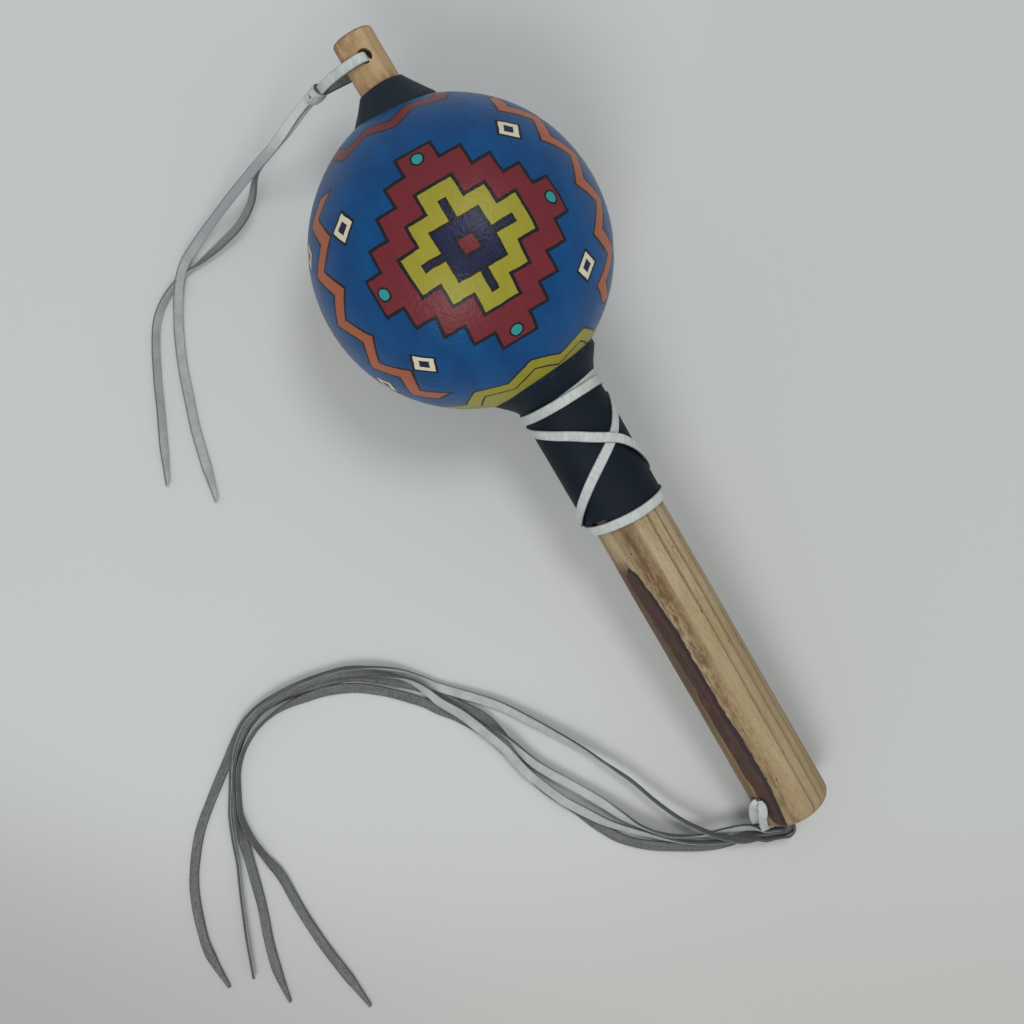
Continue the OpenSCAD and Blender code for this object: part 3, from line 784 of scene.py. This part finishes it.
def sleeve_shape():
    """A strip wrapped round the grip up to its seam, with a notch cut in its low end."""
    bm = bmesh.new()
    seam = math.pi + SEAM_HALF
    spots = []
    for k in range(SLEEVE_ROWS + 1):
        along = SLEEVE_LOW + (SLEEVE_TOP - SLEEVE_LOW) * k / SLEEVE_ROWS
        spots.append(bm.verts.new((along, SLEEVE_R * math.sin(seam), SLEEVE_R * math.cos(seam))))
    edges = [bm.edges.new(pair) for pair in zip(spots, spots[1:])]
    bmesh.ops.spin(bm, geom=spots + edges, cent=(0, 0, 0), axis=(-1, 0, 0), angle=2 * (math.pi - SEAM_HALF),
                   steps=176)
    cut = []
    for face in bm.faces:
        middle = face.calc_center_median()
        if middle.x < SLEEVE_LOW + NOTCH_HIGH and abs(angle_round(middle) - NOTCH_AT) < NOTCH_HALF:
            cut.append(face)
    bmesh.ops.delete(bm, geom=cut, context="FACES")
    bmesh.ops.recalc_face_normals(bm, faces=bm.faces)
    outward = sum(face.normal.dot(face.calc_center_median() * Vector((0, 1, 1))) for face in bm.faces)
    if outward < 0:
        bmesh.ops.reverse_faces(bm, faces=bm.faces)
    ruffle(bm, size=8.0, depth=0.12, seed=2.0)
    bmesh.ops.solidify(bm, geom=bm.faces, thickness=SLEEVE_THICK)
    bmesh.ops.recalc_face_normals(bm, faces=bm.faces)
    cut_mark = layer(bm.verts, "cut_edge")
    for v in bm.verts:
        v[cut_mark] = 1.0 if v.co.x < SLEEVE_LOW + SLEEVE_CUT_EDGE else 0.0
    return bm


# Laces: a flat strap with a smooth grain side and a rough flesh side.
LACE_WIDE = 3.4
LACE_THICK = 1.1
LACE_CHAMFER = 0.22
LACE_CROWN = 0.08
# Sides of the lace's section that show its grain: its top and both upper chamfers.
GRAIN_FACES = (0, 1, 2, 3, 4, 13)


def lace_section(wide, thick):
    """The lace's outline across its run: a chamfered strip whose top and foot bend down towards the edges."""
    half = wide / 2
    edge = thick / 2
    flat = half - LACE_CHAMFER
    inner = half * 0.48
    side = edge - LACE_CHAMFER
    outline = [(a, edge) for a in (flat, inner, 0.0, -inner, -flat)]
    outline += [(-half, side), (-half, -side)]
    outline += [(a, -edge) for a in (-flat, -inner, 0.0, inner, flat)]
    outline += [(half, -side), (half, side)]
    return [(a, h - LACE_CROWN * (a / half) ** 2) for a, h in outline]


def heading(points, i):
    """The way along a row of points at one of them."""
    return (points[min(i + 1, len(points) - 1)] - points[max(i - 1, 0)]).normalized()


def sweep_lace(points, ups, shares=None, bm=None, wide=LACE_WIDE, thick=LACE_THICK):
    """Adds a lace along points to a shape, its grain side towards ups and its width changed by shares."""
    if bm is None:
        bm = bmesh.new()
    if shares is None:
        shares = [1.0] * len(points)
    grain = layer(bm.faces, "grain_side")
    run_mark = layer(bm.verts, "lace_run")
    side_mark = layer(bm.verts, "lace_side")
    section = lace_section(wide, thick)
    count = len(section)
    run = 0.0
    ring = []
    loop = []
    first_loop = []
    for i, point in enumerate(points):
        ahead = heading(points, i)
        up = (ups[i] - ahead * ups[i].dot(ahead)).normalized()
        side = ahead.cross(up)
        places = [point + side * (a * shares[i]) + up * h for a, h in section]
        if not ring:
            ring = [bm.verts.new(place) for place in places]
            loop = [bm.edges.new((ring[k], ring[(k + 1) % count])) for k in range(count)]
            first_loop = list(loop)
            for v, (a, _) in zip(ring, section):
                v[side_mark] = 2 * a / wide
            continue
        run += (point - points[i - 1]).length
        grown = bmesh.ops.extrude_edge_only(bm, edges=loop)["geom"]
        fresh = {item for item in grown if isinstance(item, bmesh.types.BMVert)}
        next_ring = []
        for v in ring:
            next_ring.append(next(e.other_vert(v) for e in v.link_edges if e.other_vert(v) in fresh))
        for v, place, (a, _) in zip(next_ring, places, section):
            v.co = place
            v[run_mark] = run
            v[side_mark] = 2 * a / wide
        ring = next_ring
        loop = [bm.edges.get((ring[k], ring[(k + 1) % count])) for k in range(count)]
        for k, edge in enumerate(loop):
            edge.link_faces[0][grain] = 1.0 if k in GRAIN_FACES else 0.0
    for end in (first_loop, loop):
        bmesh.ops.contextual_create(bm, geom=end)
    bmesh.ops.recalc_face_normals(bm, faces=bm.faces)
    return bm


def smooth_rows(rows, step):
    """More rows on one smooth curve through the given ones, about a step apart."""
    rows = [Vector(row) for row in rows]
    last = len(rows) - 1
    found = []
    for i in range(last):
        before, here, there, after = rows[max(0, i - 1)], rows[i], rows[i + 1], rows[min(last, i + 2)]
        parts = max(1, math.ceil((there.xyz - here.xyz).length / step))
        for k in range(parts):
            t = k / parts
            found.append(0.5 * (2 * here + (there - before) * t
                                + (2 * before - 5 * here + 4 * there - after) * t ** 2
                                + (3 * here - before - 3 * there + after) * t ** 3))
    found.append(rows[last])
    return found


UP = Vector((0, 0, 1))
RING_STEP = 1.6
POINT_LENGTH = 13.0
POINT_SHARE = 0.3
# A thong sways aside, and its width plays, by so much over about such a length.
SWAY = 0.35
SWAY_LENGTH = 17.0
WIDTH_PLAY = 0.05
WIDTH_LENGTH = 7.0
FLOOR_GAP = 0.05


def tail_frames(rows, seed):
    """Centre points, grain directions and width shares of a loose thong, from rows of x, y, z and lean."""
    fine = smooth_rows(rows, RING_STEP)
    middles = [row.xyz for row in fine]
    points = []
    ups = []
    for i, row in enumerate(fine):
        ahead = heading(middles, i)
        level = ahead.cross(UP).normalized()
        upright = level.cross(ahead)
        lean = math.radians(row.w)
        sway = SWAY * noise.noise(Vector((i * RING_STEP / SWAY_LENGTH, seed, 0.5)))
        point = row.xyz + level * sway
        room = abs(math.cos(lean)) * LACE_THICK / 2 + abs(math.sin(lean)) * LACE_WIDE / 2
        point.z = max(point.z, room + FLOOR_GAP)
        points.append(point)
        ups.append(math.cos(lean) * upright - math.sin(lean) * level)
    shares = []
    left = 0.0
    last = len(points) - 1
    for i in range(last, -1, -1):
        if i < last:
            left += (points[i + 1] - points[i]).length
        taper = POINT_SHARE + (1 - POINT_SHARE) * min(1.0, left / POINT_LENGTH)
        play = WIDTH_PLAY * noise.noise(Vector((i * RING_STEP / WIDTH_LENGTH, seed, 4.5)))
        shares.append(taper * (1 + play))
    shares.reverse()
    return points, ups, shares


def lace_long(points):
    """A lace's length in metres."""
    return round(sum((there - here).length for here, there in zip(points, points[1:])) * MM, 3)


def thong(name, look, rows, seed, nodes):
    """A loose thong, made into a piece that stands for its CAD nodes."""
    points, ups, shares = tail_frames(rows, seed)
    piece = show(name, sweep_lace(points, ups, shares), look, row_place, nodes)
    lace_long(points)
    [point * MM for point in points]


# The lace on the sleeve: each row is (turn, place along the stick, layer).
LACING = (
    (-0.8, -56.8, 0), (-0.7, -55.8, 0), (-0.6, -54.8, 0), (-0.5, -54.6, -0.5), (-0.4, -54.8, -0.2),
    (-0.25, -55.4, 0), (-0.1, -56.6, 0), (0, -57, 0), (0.1, -56.9, 0), (0.17, -56.7, 1),
    (0.3, -56.5, 1), (0.4, -56.8, 0.9), (0.5, -58.3, -0.4), (0.55, -58.9, -0.2), (0.63, -59.7, 0),
    (0.75, -60.2, 0), (0.88, -60.7, 0), (1, -61.2, 0), (1.1, -63.4, 0), (1.2, -67.4, 0.3),
    (1.28, -72.4, 1), (1.35, -76.2, 1), (1.4, -80.8, 1), (1.5, -90.5, 0), (1.62, -95.2, 0),
    (1.8, -98, 0), (2, -100, 0), (2.17, -100.5, 0), (2.27, -101, 0), (2.64, -101, 0),
    (2.73, -100.8, 1), (2.85, -99.4, 1), (3, -96.4, 1), (3.05, -93.4, 0.8), (3.19, -83.6, 0),
    (3.27, -78.6, 0), (3.34, -75, 0), (3.39, -71.6, 0), (3.44, -67.6, 0), (3.5, -63.6, 0))
LACE_TIGHT = 0.85
LACING_R = SLEEVE_R + LACE_TIGHT / 2 - 0.06
LACING_LAYER = LACE_TIGHT + 0.04
LACING_RINGS = 60
LACING_BLUR = 0.03


def lacing_eased(turn, column):
    """A column of the lacing at a turn, evened out so that the lace bends gently."""
    spread = [between(LACING, turn + LACING_BLUR * k / 3, column) for k in range(-3, 4)]
    return sum(spread) / len(spread)


def lacing_shape():
    points = []
    ups = []
    first = LACING[0][0]
    rings = round((LACING[-1][0] - first) * LACING_RINGS)
    for i in range(rings + 1):
        turn = first + i / LACING_RINGS
        angle = math.radians(90 - 360 * turn)
        out = Vector((0, math.sin(angle), math.cos(angle)))
        radius = LACING_R + LACING_LAYER * lacing_eased(turn, 2)
        points.append(Vector((lacing_eased(turn, 1), 0, 0)) + out * radius)
        ups.append(out)
    shares = [1 + 0.03 * noise.noise(Vector((i / 9, 1.5, 2.5))) for i in range(rings + 1)]
    return sweep_lace(points, ups, shares, thick=LACE_TIGHT)


# The peg thong goes down through the peg, and its two ends meet in a knot.
PEG_LOOP = (
    (141.9, 13.4, 51.8), (141.2, 10.4, 56.4), (140.4, 7, 60.6), (139.5, 3, 64.4),
    (138.9, -1, 66.6), (138.7, -3.4, 66.8), (138.9, -4.6, 65.2), (139.5, -4.7, 62), (140.2, -4.7, 58.6),
    (140.9, -4.7, 55), (141.3, -4.4, 51.2), (141.6, -2.6, 49.6), (141.9, 1, 49), (142.1, 5, 49.2),
    (142.1, 9, 50), (142.1, 13, 50.6))
PEG_KNOT = ((141.8, 11.4, 53.6), (142.3, 16.4, 48.6))
# The knot's wraps: share of the way down the knot, turns, radius, climb, width and first angle.
PEG_WRAPS = ((0.4, 1.3, 2.0, 2.0, 3.1, 0.3), (0.78, 1.1, 1.8, -1.4, 2.6, 2.2))
WRAP_RINGS = 36
WRAP_GROWTH = 0.5
# Loose thongs: each row is (x, y, z, lean), with a lean of 0 where the grain side faces up.
PEG_TAIL_1 = (
    (142, 13.2, 52.2, 0), (142.8, 18.6, 47.6, 0), (142.8, 26, 39, 8), (141.8, 35, 30.5, 18),
    (140.8, 47, 21.5, 28), (138.8, 60, 13.5, 34), (135.8, 73, 7.2, 35), (130.8, 85, 4.2, 35),
    (122.8, 92.5, 2.6, 35), (112.8, 98.5, 1, 35), (100.8, 104, 0.6, 35), (88.8, 108.5, 0.6, 35),
    (76.8, 112.5, 0.6, 35), (63.8, 116, 0.6, 35), (51.8, 119, 0.6, 35))
PEG_TAIL_2 = (
    (142, 13.6, 50.4, 20), (142.9, 19.1, 44.4, 20), (142.9, 28.2, 33.5, 40),
    (142.3, 37.7, 24.5, 80), (140.3, 45.8, 17.4, 125), (135.2, 52.5, 11.5, 150), (131.8, 60, 7.5, 155),
    (130.2, 69, 4.5, 150), (129.2, 78, 2.2, 125), (128.2, 87, 1.6, 80), (124.8, 96, 1.8, 64),
    (118.8, 104, 1.8, 60), (110.8, 109.5, 1.8, 60), (101.8, 114, 1.8, 60), (91.8, 118.5, 1.8, 60),
    (80.8, 124, 1.7, 56), (65.8, 131, 1.4, 48))


ALONG = Vector((1, 0, 0))
LOOP_STEP = 1.0


def peg_loop_shape():
    """The peg's loop, which keeps its width along X, and its points."""
    points = smooth_rows(PEG_LOOP, LOOP_STEP)
    ups = [heading(points, i).cross(ALONG).normalized() for i in range(len(points))]
    return sweep_lace(points, ups), points


def peg_knot_shape():
    """Two short wraps drawn tight round the thong."""
    top, low = (Vector(end) for end in PEG_KNOT)
    axis = (low - top).normalized()
    first = axis.cross(ALONG).normalized()
    second = axis.cross(first)
    bm = None
    for at, turns, radius, climb, wide, start in PEG_WRAPS:
        rings = round(turns * WRAP_RINGS)
        points = []
        ups = []
        for i in range(rings + 1):
            share = i / rings
            angle = start + 2 * math.pi * turns * share
            out = math.cos(angle) * first * 1.12 + math.sin(angle) * second * 0.9
            along = at * (low - top).length + climb * (share - 0.5)
            points.append(top + axis * along + out * (radius + WRAP_GROWTH * share))
            ups.append(out)
        bm = sweep_lace(points, ups, bm=bm, wide=wide)
    return bm


# The butt thongs: four tails leave the hole in the end face, and a loop from the side hole holds them.
# They share one way round the butt's edge, the wrap. Each tail has a place aside of it and above it, and a
# lean. Row by row, the spread and the fan widen these.
WRAP = (
    (-149.7, -0.2, 8.2), (-153.1, 0.4, 7.4), (-154.8, 1.3, 6.8), (-155.3, 2.8, 6.2), (-154.7, 4.5, 5.8),
    (-153.6, 7.3, 5.6), (-152.5, 10.3, 5.4))
WRAP_ASIDE = (-1.7, 1.75, 0.6, -0.55)
WRAP_LEVELS = (0.8, 0.3, -0.2, -0.9)
WRAP_LEANS = (98, 84, 92, 104)
WRAP_SPREAD = (0.3, 0.8, 1.1, 1.2, 1.0, 0.8, 0.95)
WRAP_FAN = (0, 6, 14, 16, 8, 0, 0)
BUTT_TAILS = (
    ((-152.1, 13.2, 6.2, 100), (-149.7, 18.2, 6.8, 108), (-144.7, 23.6, 7, 108), (-139.7, 28.1, 6.8, 98),
     (-132.2, 33.2, 6.4, 94), (-121.6, 38.1, 6, 93), (-110.2, 42.1, 5.2, 92), (-99.9, 47.2, 4.4, 80),
     (-90.1, 52.6, 3.6, 55), (-76, 61, 2.8, 35), (-62.8, 70, 2, 18), (-47.7, 83.8, 1.4, 5),
     (-41.5, 88.6, 1.3, 15), (-35.6, 93.5, 1.4, 35), (-30.7, 99.1, 1.7, 65), (-26.6, 105, 1.9, 90),
     (-23.3, 111.5, 1.9, 96), (-21.5, 118.8, 1.9, 96), (-20.3, 126.5, 1.9, 96), (-19.5, 134.5, 1.9, 96),
     (-19.7, 143.1, 1.9, 96), (-21.6, 150.1, 1.9, 96), (-25.3, 156.3, 1.9, 96), (-30.4, 161.3, 1.9, 96),
     (-36.4, 165.4, 1.9, 96), (-46.9, 171.7, 1.9, 96), (-50.9, 173.6, 1.9, 96), (-57, 176.1, 1.9, 96),
     (-64.9, 179.1, 1.9, 96), (-72.2, 182.6, 1.8, 96), (-92.2, 191, 1.8, 96), (-103.7, 195.8, 1.8, 96)),
    ((-147.1, 14, 6, 48), (-144, 21.7, 5.6, 52), (-141, 30.2, 5, 72), (-135.8, 39.6, 4.6, 85),
     (-127.6, 46.9, 4.2, 68), (-120.1, 51.2, 3.8, 35), (-112.8, 54.8, 3.4, 10), (-102.9, 60.2, 3, 0),
     (-88.4, 68.4, 2.8, 20), (-75.1, 71.9, 3, 85), (-68.1, 74.4, 2.4, 140), (-61.8, 77.5, 1.4, 180),
     (-52.6, 83.9, 0.6, 180), (-43.9, 90.1, 0.6, 180), (-33.8, 101, 0.6, 180),
     (-28, 109.4, 0.6, 180), (-24.5, 118.7, 0.8, 185), (-22.8, 127.3, 1.3, 205), (-21.8, 135.3, 1.8, 240),
     (-22.2, 142.5, 1.8, 262), (-24.4, 149.7, 1.8, 265), (-27.8, 155.7, 1.8, 265), (-32.1, 160.5, 1.8, 265),
     (-37.6, 164.7, 1.8, 265), (-48.6, 170.4, 1.8, 262), (-53.6, 172, 1.6, 245),
     (-58.8, 173.5, 1.2, 215), (-65.1, 175.1, 0.8, 195), (-82.2, 180, 0.6, 180), (-95.2, 184.5, 0.6, 180),
     (-107.2, 187.5, 0.6, 180), (-118.1, 189.2, 0.6, 180)),
    ((-150.4, 15.6, 4.4, 95), (-147.7, 23.5, 3.9, 92), (-143.8, 31.6, 3.6, 88), (-139.6, 37.6, 3.6, 80),
     (-134.8, 43.1, 3.6, 65), (-126.2, 51.4, 3.4, 48), (-121.4, 55.7, 3.2, 35), (-114.7, 60.5, 3, 12),
     (-104.6, 66.7, 2.8, 0), (-90.8, 72.3, 2.6, 0), (-77.5, 75.4, 2.6, 0), (-65.5, 79.7, 2.6, 0),
     (-59, 82.5, 2.6, 5), (-51.9, 86.3, 2.6, 15), (-46.5, 88.3, 2.7, 35), (-40.4, 91.4, 3, 60),
     (-35.8, 95.6, 3, 90), (-32.1, 99.7, 3, 120), (-25.4, 110.5, 2.7, 165), (-21.9, 121.1, 2.5, 180),
     (-20.5, 132.4, 3, 180), (-20.6, 141.7, 2.9, 180), (-22.5, 150.5, 2.6, 180), (-26.7, 157.5, 2, 180),
     (-31.4, 164.1, 1.2, 180), (-41.2, 177.5, 0.6, 180), (-48.8, 186.5, 0.6, 180), (-58.8, 194.5, 0.6, 180),
     (-69.2, 200, 0.6, 180), (-83.2, 204.5, 0.6, 180), (-92.2, 205.5, 0.6, 180), (-102.3, 205.3, 0.6, 180)),
    ((-150.6, 15.3, 2.6, 140), (-147.9, 25.4, 2.2, 175), (-144.3, 33.8, 2, 180), (-136.7, 46.5, 1.2, 180),
     (-128.8, 55.2, 0.6, 180), (-120.2, 60.3, 0.6, 180), (-111.7, 63.6, 0.6, 180), (-100, 69.4, 0.6, 180),
     (-87.3, 73.2, 0.6, 180), (-72.5, 77.5, 0.6, 180), (-61.8, 83, 0.6, 180), (-55, 87.8, 0.6, 180),
     (-48.1, 92.6, 0.6, 180), (-37.5, 103.2, 0.6, 180), (-31.5, 111.5, 0.6, 180),
     (-27.6, 120.6, 0.6, 180), (-25.8, 128.3, 1.3, 205), (-24.9, 135, 1.8, 240), (-25, 141.6, 1.8, 262),
     (-26.5, 148, 1.8, 265), (-29.4, 154.1, 1.8, 265), (-33, 159, 1.8, 265), (-38, 163.4, 1.8, 265),
     (-47.9, 168.7, 1.8, 262), (-53.1, 170, 1.8, 260), (-59.8, 170.4, 1.8, 255),
     (-67.2, 169.7, 1.8, 250), (-76.2, 168.5, 1.2, 205), (-88.2, 168.6, 0.6, 180), (-98.2, 168.4, 0.6, 180),
     (-113.2, 167.4, 0.6, 180), (-134.4, 164.7, 0.6, 180)))
# The loop's two legs, from their low ends to the side hole. High up they lie flat on the stick, and low down
# their grain side faces up.
BUTT_LEGS = (
    ((-148.7, 10.7, 3.4), (-146.3, 10.5, 6.6), (-143.4, 10.2, 10.5), (-140.1, 9.4, 14.5), (-137.3, 8.6, 19.7),
     (-136.9, 7.2, 20.7)),
    ((-153.6, 8.8, 2.8), (-151.1, 8.8, 6), (-148.1, 8.7, 10.5), (-144.7, 8.5, 16), (-141.7, 8, 20.6),
     (-139.8, 7.1, 21.9), (-138, 6.6, 22.4), (-137, 6.7, 21.5)))
LOOP_DEEP = 4.0
LEG_STEP = 0.8
LEG_LIFTS = (1.6, 0.9)
LEG_FREE = 8.0
LEG_LAID = 19.0


def butt_loop_shape():
    """Two legs of one strap that come out of the side hole, lie over the stick and end between the tails."""
    bm = None
    into = (laid_down.to_3x3() @ butt_hole_way).normalized() * LOOP_DEEP
    mouth = stick_place @ BUTT_HOLE_SIDE / MM
    for leg, lift in zip(BUTT_LEGS, LEG_LIFTS):
        points = smooth_rows([*leg, mouth + into], LEG_STEP)
        ups = []
        for point in points:
            local = stick_place.inverted() @ (point * MM)
            from_stick = (laid_down.to_3x3() @ Vector((0, local.y, local.z))).normalized()
            laid = part_way(point.z, LEG_FREE, LEG_LAID)
            ups.append((from_stick * laid + UP * lift).normalized())
        bm = sweep_lace(points, ups, bm=bm)
    return bm


def butt_tail_rows(k):
    """A tail from inside the hole, round the corner on its edge beside the others, and along its own way."""
    start = []
    middles = [Vector(row) for row in WRAP]
    for n, middle in enumerate(middles):
        level = heading(middles, n).cross(UP).normalized()
        point = middle + WRAP_SPREAD[n] * (level * WRAP_ASIDE[k] + UP * WRAP_LEVELS[k])
        start.append((*point, WRAP_LEANS[k] + WRAP_FAN[n] * WRAP_ASIDE[k]))
    return start + list(BUTT_TAILS[k])


painted_gourd = gourd_look()
stick_wood = wood_look()
collar_leather = collar_look()
sleeve_leather = sleeve_look()
DARK_FLESH = (paint(72, 75, 74), paint(116, 118, 116))
# Painted light: a paler, lit copy of the flesh side's grey, for the peg's thong.
LIT_FLESH = (paint(108, 111, 110), paint(140, 143, 141))
LACE_WHITE = (paint(194, 199, 196), paint(180, 185, 182))
THONG_WHITE = (paint(176, 180, 178), paint(158, 162, 161))
white_lace = lace_look("white_lace", LACE_WHITE, DARK_FLESH, crease_shade=0.36)
thong_lace = lace_look("thong_lace", THONG_WHITE, DARK_FLESH, crease_shade=0.14)
peg_lace = lace_look("peg_lace", THONG_WHITE, LIT_FLESH, crease_shade=0.14, shaded_by_height=True)
pebble_stone = pebble_look()

# Cords first, then the rest of the rattle.
loop_bm, loop_points = peg_loop_shape()
peg_loop = show("peg_loop_strap", loop_bm, white_lace, row_place, ["peg_thong_loop"])
peg_knot = show("peg_knot_wraps", peg_knot_shape(), white_lace, row_place, ["peg_thong_knot"])
lace_long(loop_points)
[point * MM for point in loop_points]
thong("peg_tail_strap_1", peg_lace, PEG_TAIL_1, 11.0, ["peg_thong_tail_1"])
thong("peg_tail_strap_2", peg_lace, PEG_TAIL_2, 12.0, ["peg_thong_tail_2"])

butt_loop = show(
    "butt_loop_strap", butt_loop_shape(), white_lace, row_place, ["butt_thong_loops"])
for k in range(len(BUTT_TAILS)):
    nodes = [f"butt_thong_tail_{k + 1}"] + (["butt_thong_wrap"] if k == 0 else [])
    thong(f"butt_tail_strap_{k + 1}", thong_lace, butt_tail_rows(k), 21.0 + k, nodes)

show("gourd_painted", gourd_shape(), painted_gourd, gourd_place, ["gourd_shell"])
show("stick_carved", stick_shape(), stick_wood, stick_place, ["handle_stick"])
show("peg_collar_formed", peg_collar_shape(), collar_leather, stick_place, ["peg_collar"])
show("neck_collar_formed", neck_collar_shape(), collar_leather, stick_place, ["neck_collar"])
show("sleeve_wrapped", sleeve_shape(), sleeve_leather, stick_place, ["leather_sleeve"])
show("lacing_wound", lacing_shape(), white_lace, stick_place, ["sleeve_lacing"])
PEBBLES = 10
for k in range(PEBBLES):
    pebble = frame["nodes"][f"pebble_{k + 1}"]
    pebble.data.materials.clear()
    pebble.data.materials.append(pebble_stone)

# Floor, light and camera. The floor's and the lamps' sizes are in metres.
FLOOR_HALF = 3.0
LAMP_AIM = Vector((0.0, 0.05, 0.0))
ROOM_COLOUR = (0.5, 0.515, 0.525, 1)
floor_bm = bmesh.new()
bmesh.ops.create_grid(floor_bm, x_segments=1, y_segments=1, size=FLOOR_HALF)
floor = placed("floor", floor_bm)
floor.data.materials.append(floor_look())


def lamp(name, place, size, power):
    light = bpy.data.lights.new(name, "AREA")
    light.shape = "DISK"
    light.size = size
    light.energy = power
    thing = bpy.data.objects.new(name, light)
    thing.location = place
    thing.rotation_euler = (LAMP_AIM - Vector(place)).to_track_quat("-Z", "Y").to_euler()
    scene.collection.objects.link(thing)


lamp("window_light", (-0.69, 0.63, 1.15), size=0.7, power=7.6)
lamp("ceiling_light", (0.24, -0.38, 1.15), size=0.35, power=3.9)

world = bpy.data.worlds.new("room")
world.use_nodes = True
room = world.node_tree.nodes["Background"]
room.inputs["Color"].default_value = ROOM_COLOUR
room.inputs["Strength"].default_value = 1.0
scene.world = world
scene.view_settings.view_transform = "Standard"

camera_data = bpy.data.cameras.new("camera")
camera_data.sensor_width = CAMERA_SENSOR
camera_data.lens = CAMERA_LENS
camera = bpy.data.objects.new("camera", camera_data)
camera.location = CAMERA_PLACE * MM
camera.rotation_euler = (0.0, 0.0, CAMERA_TURN)
scene.collection.objects.link(camera)
scene.camera = camera
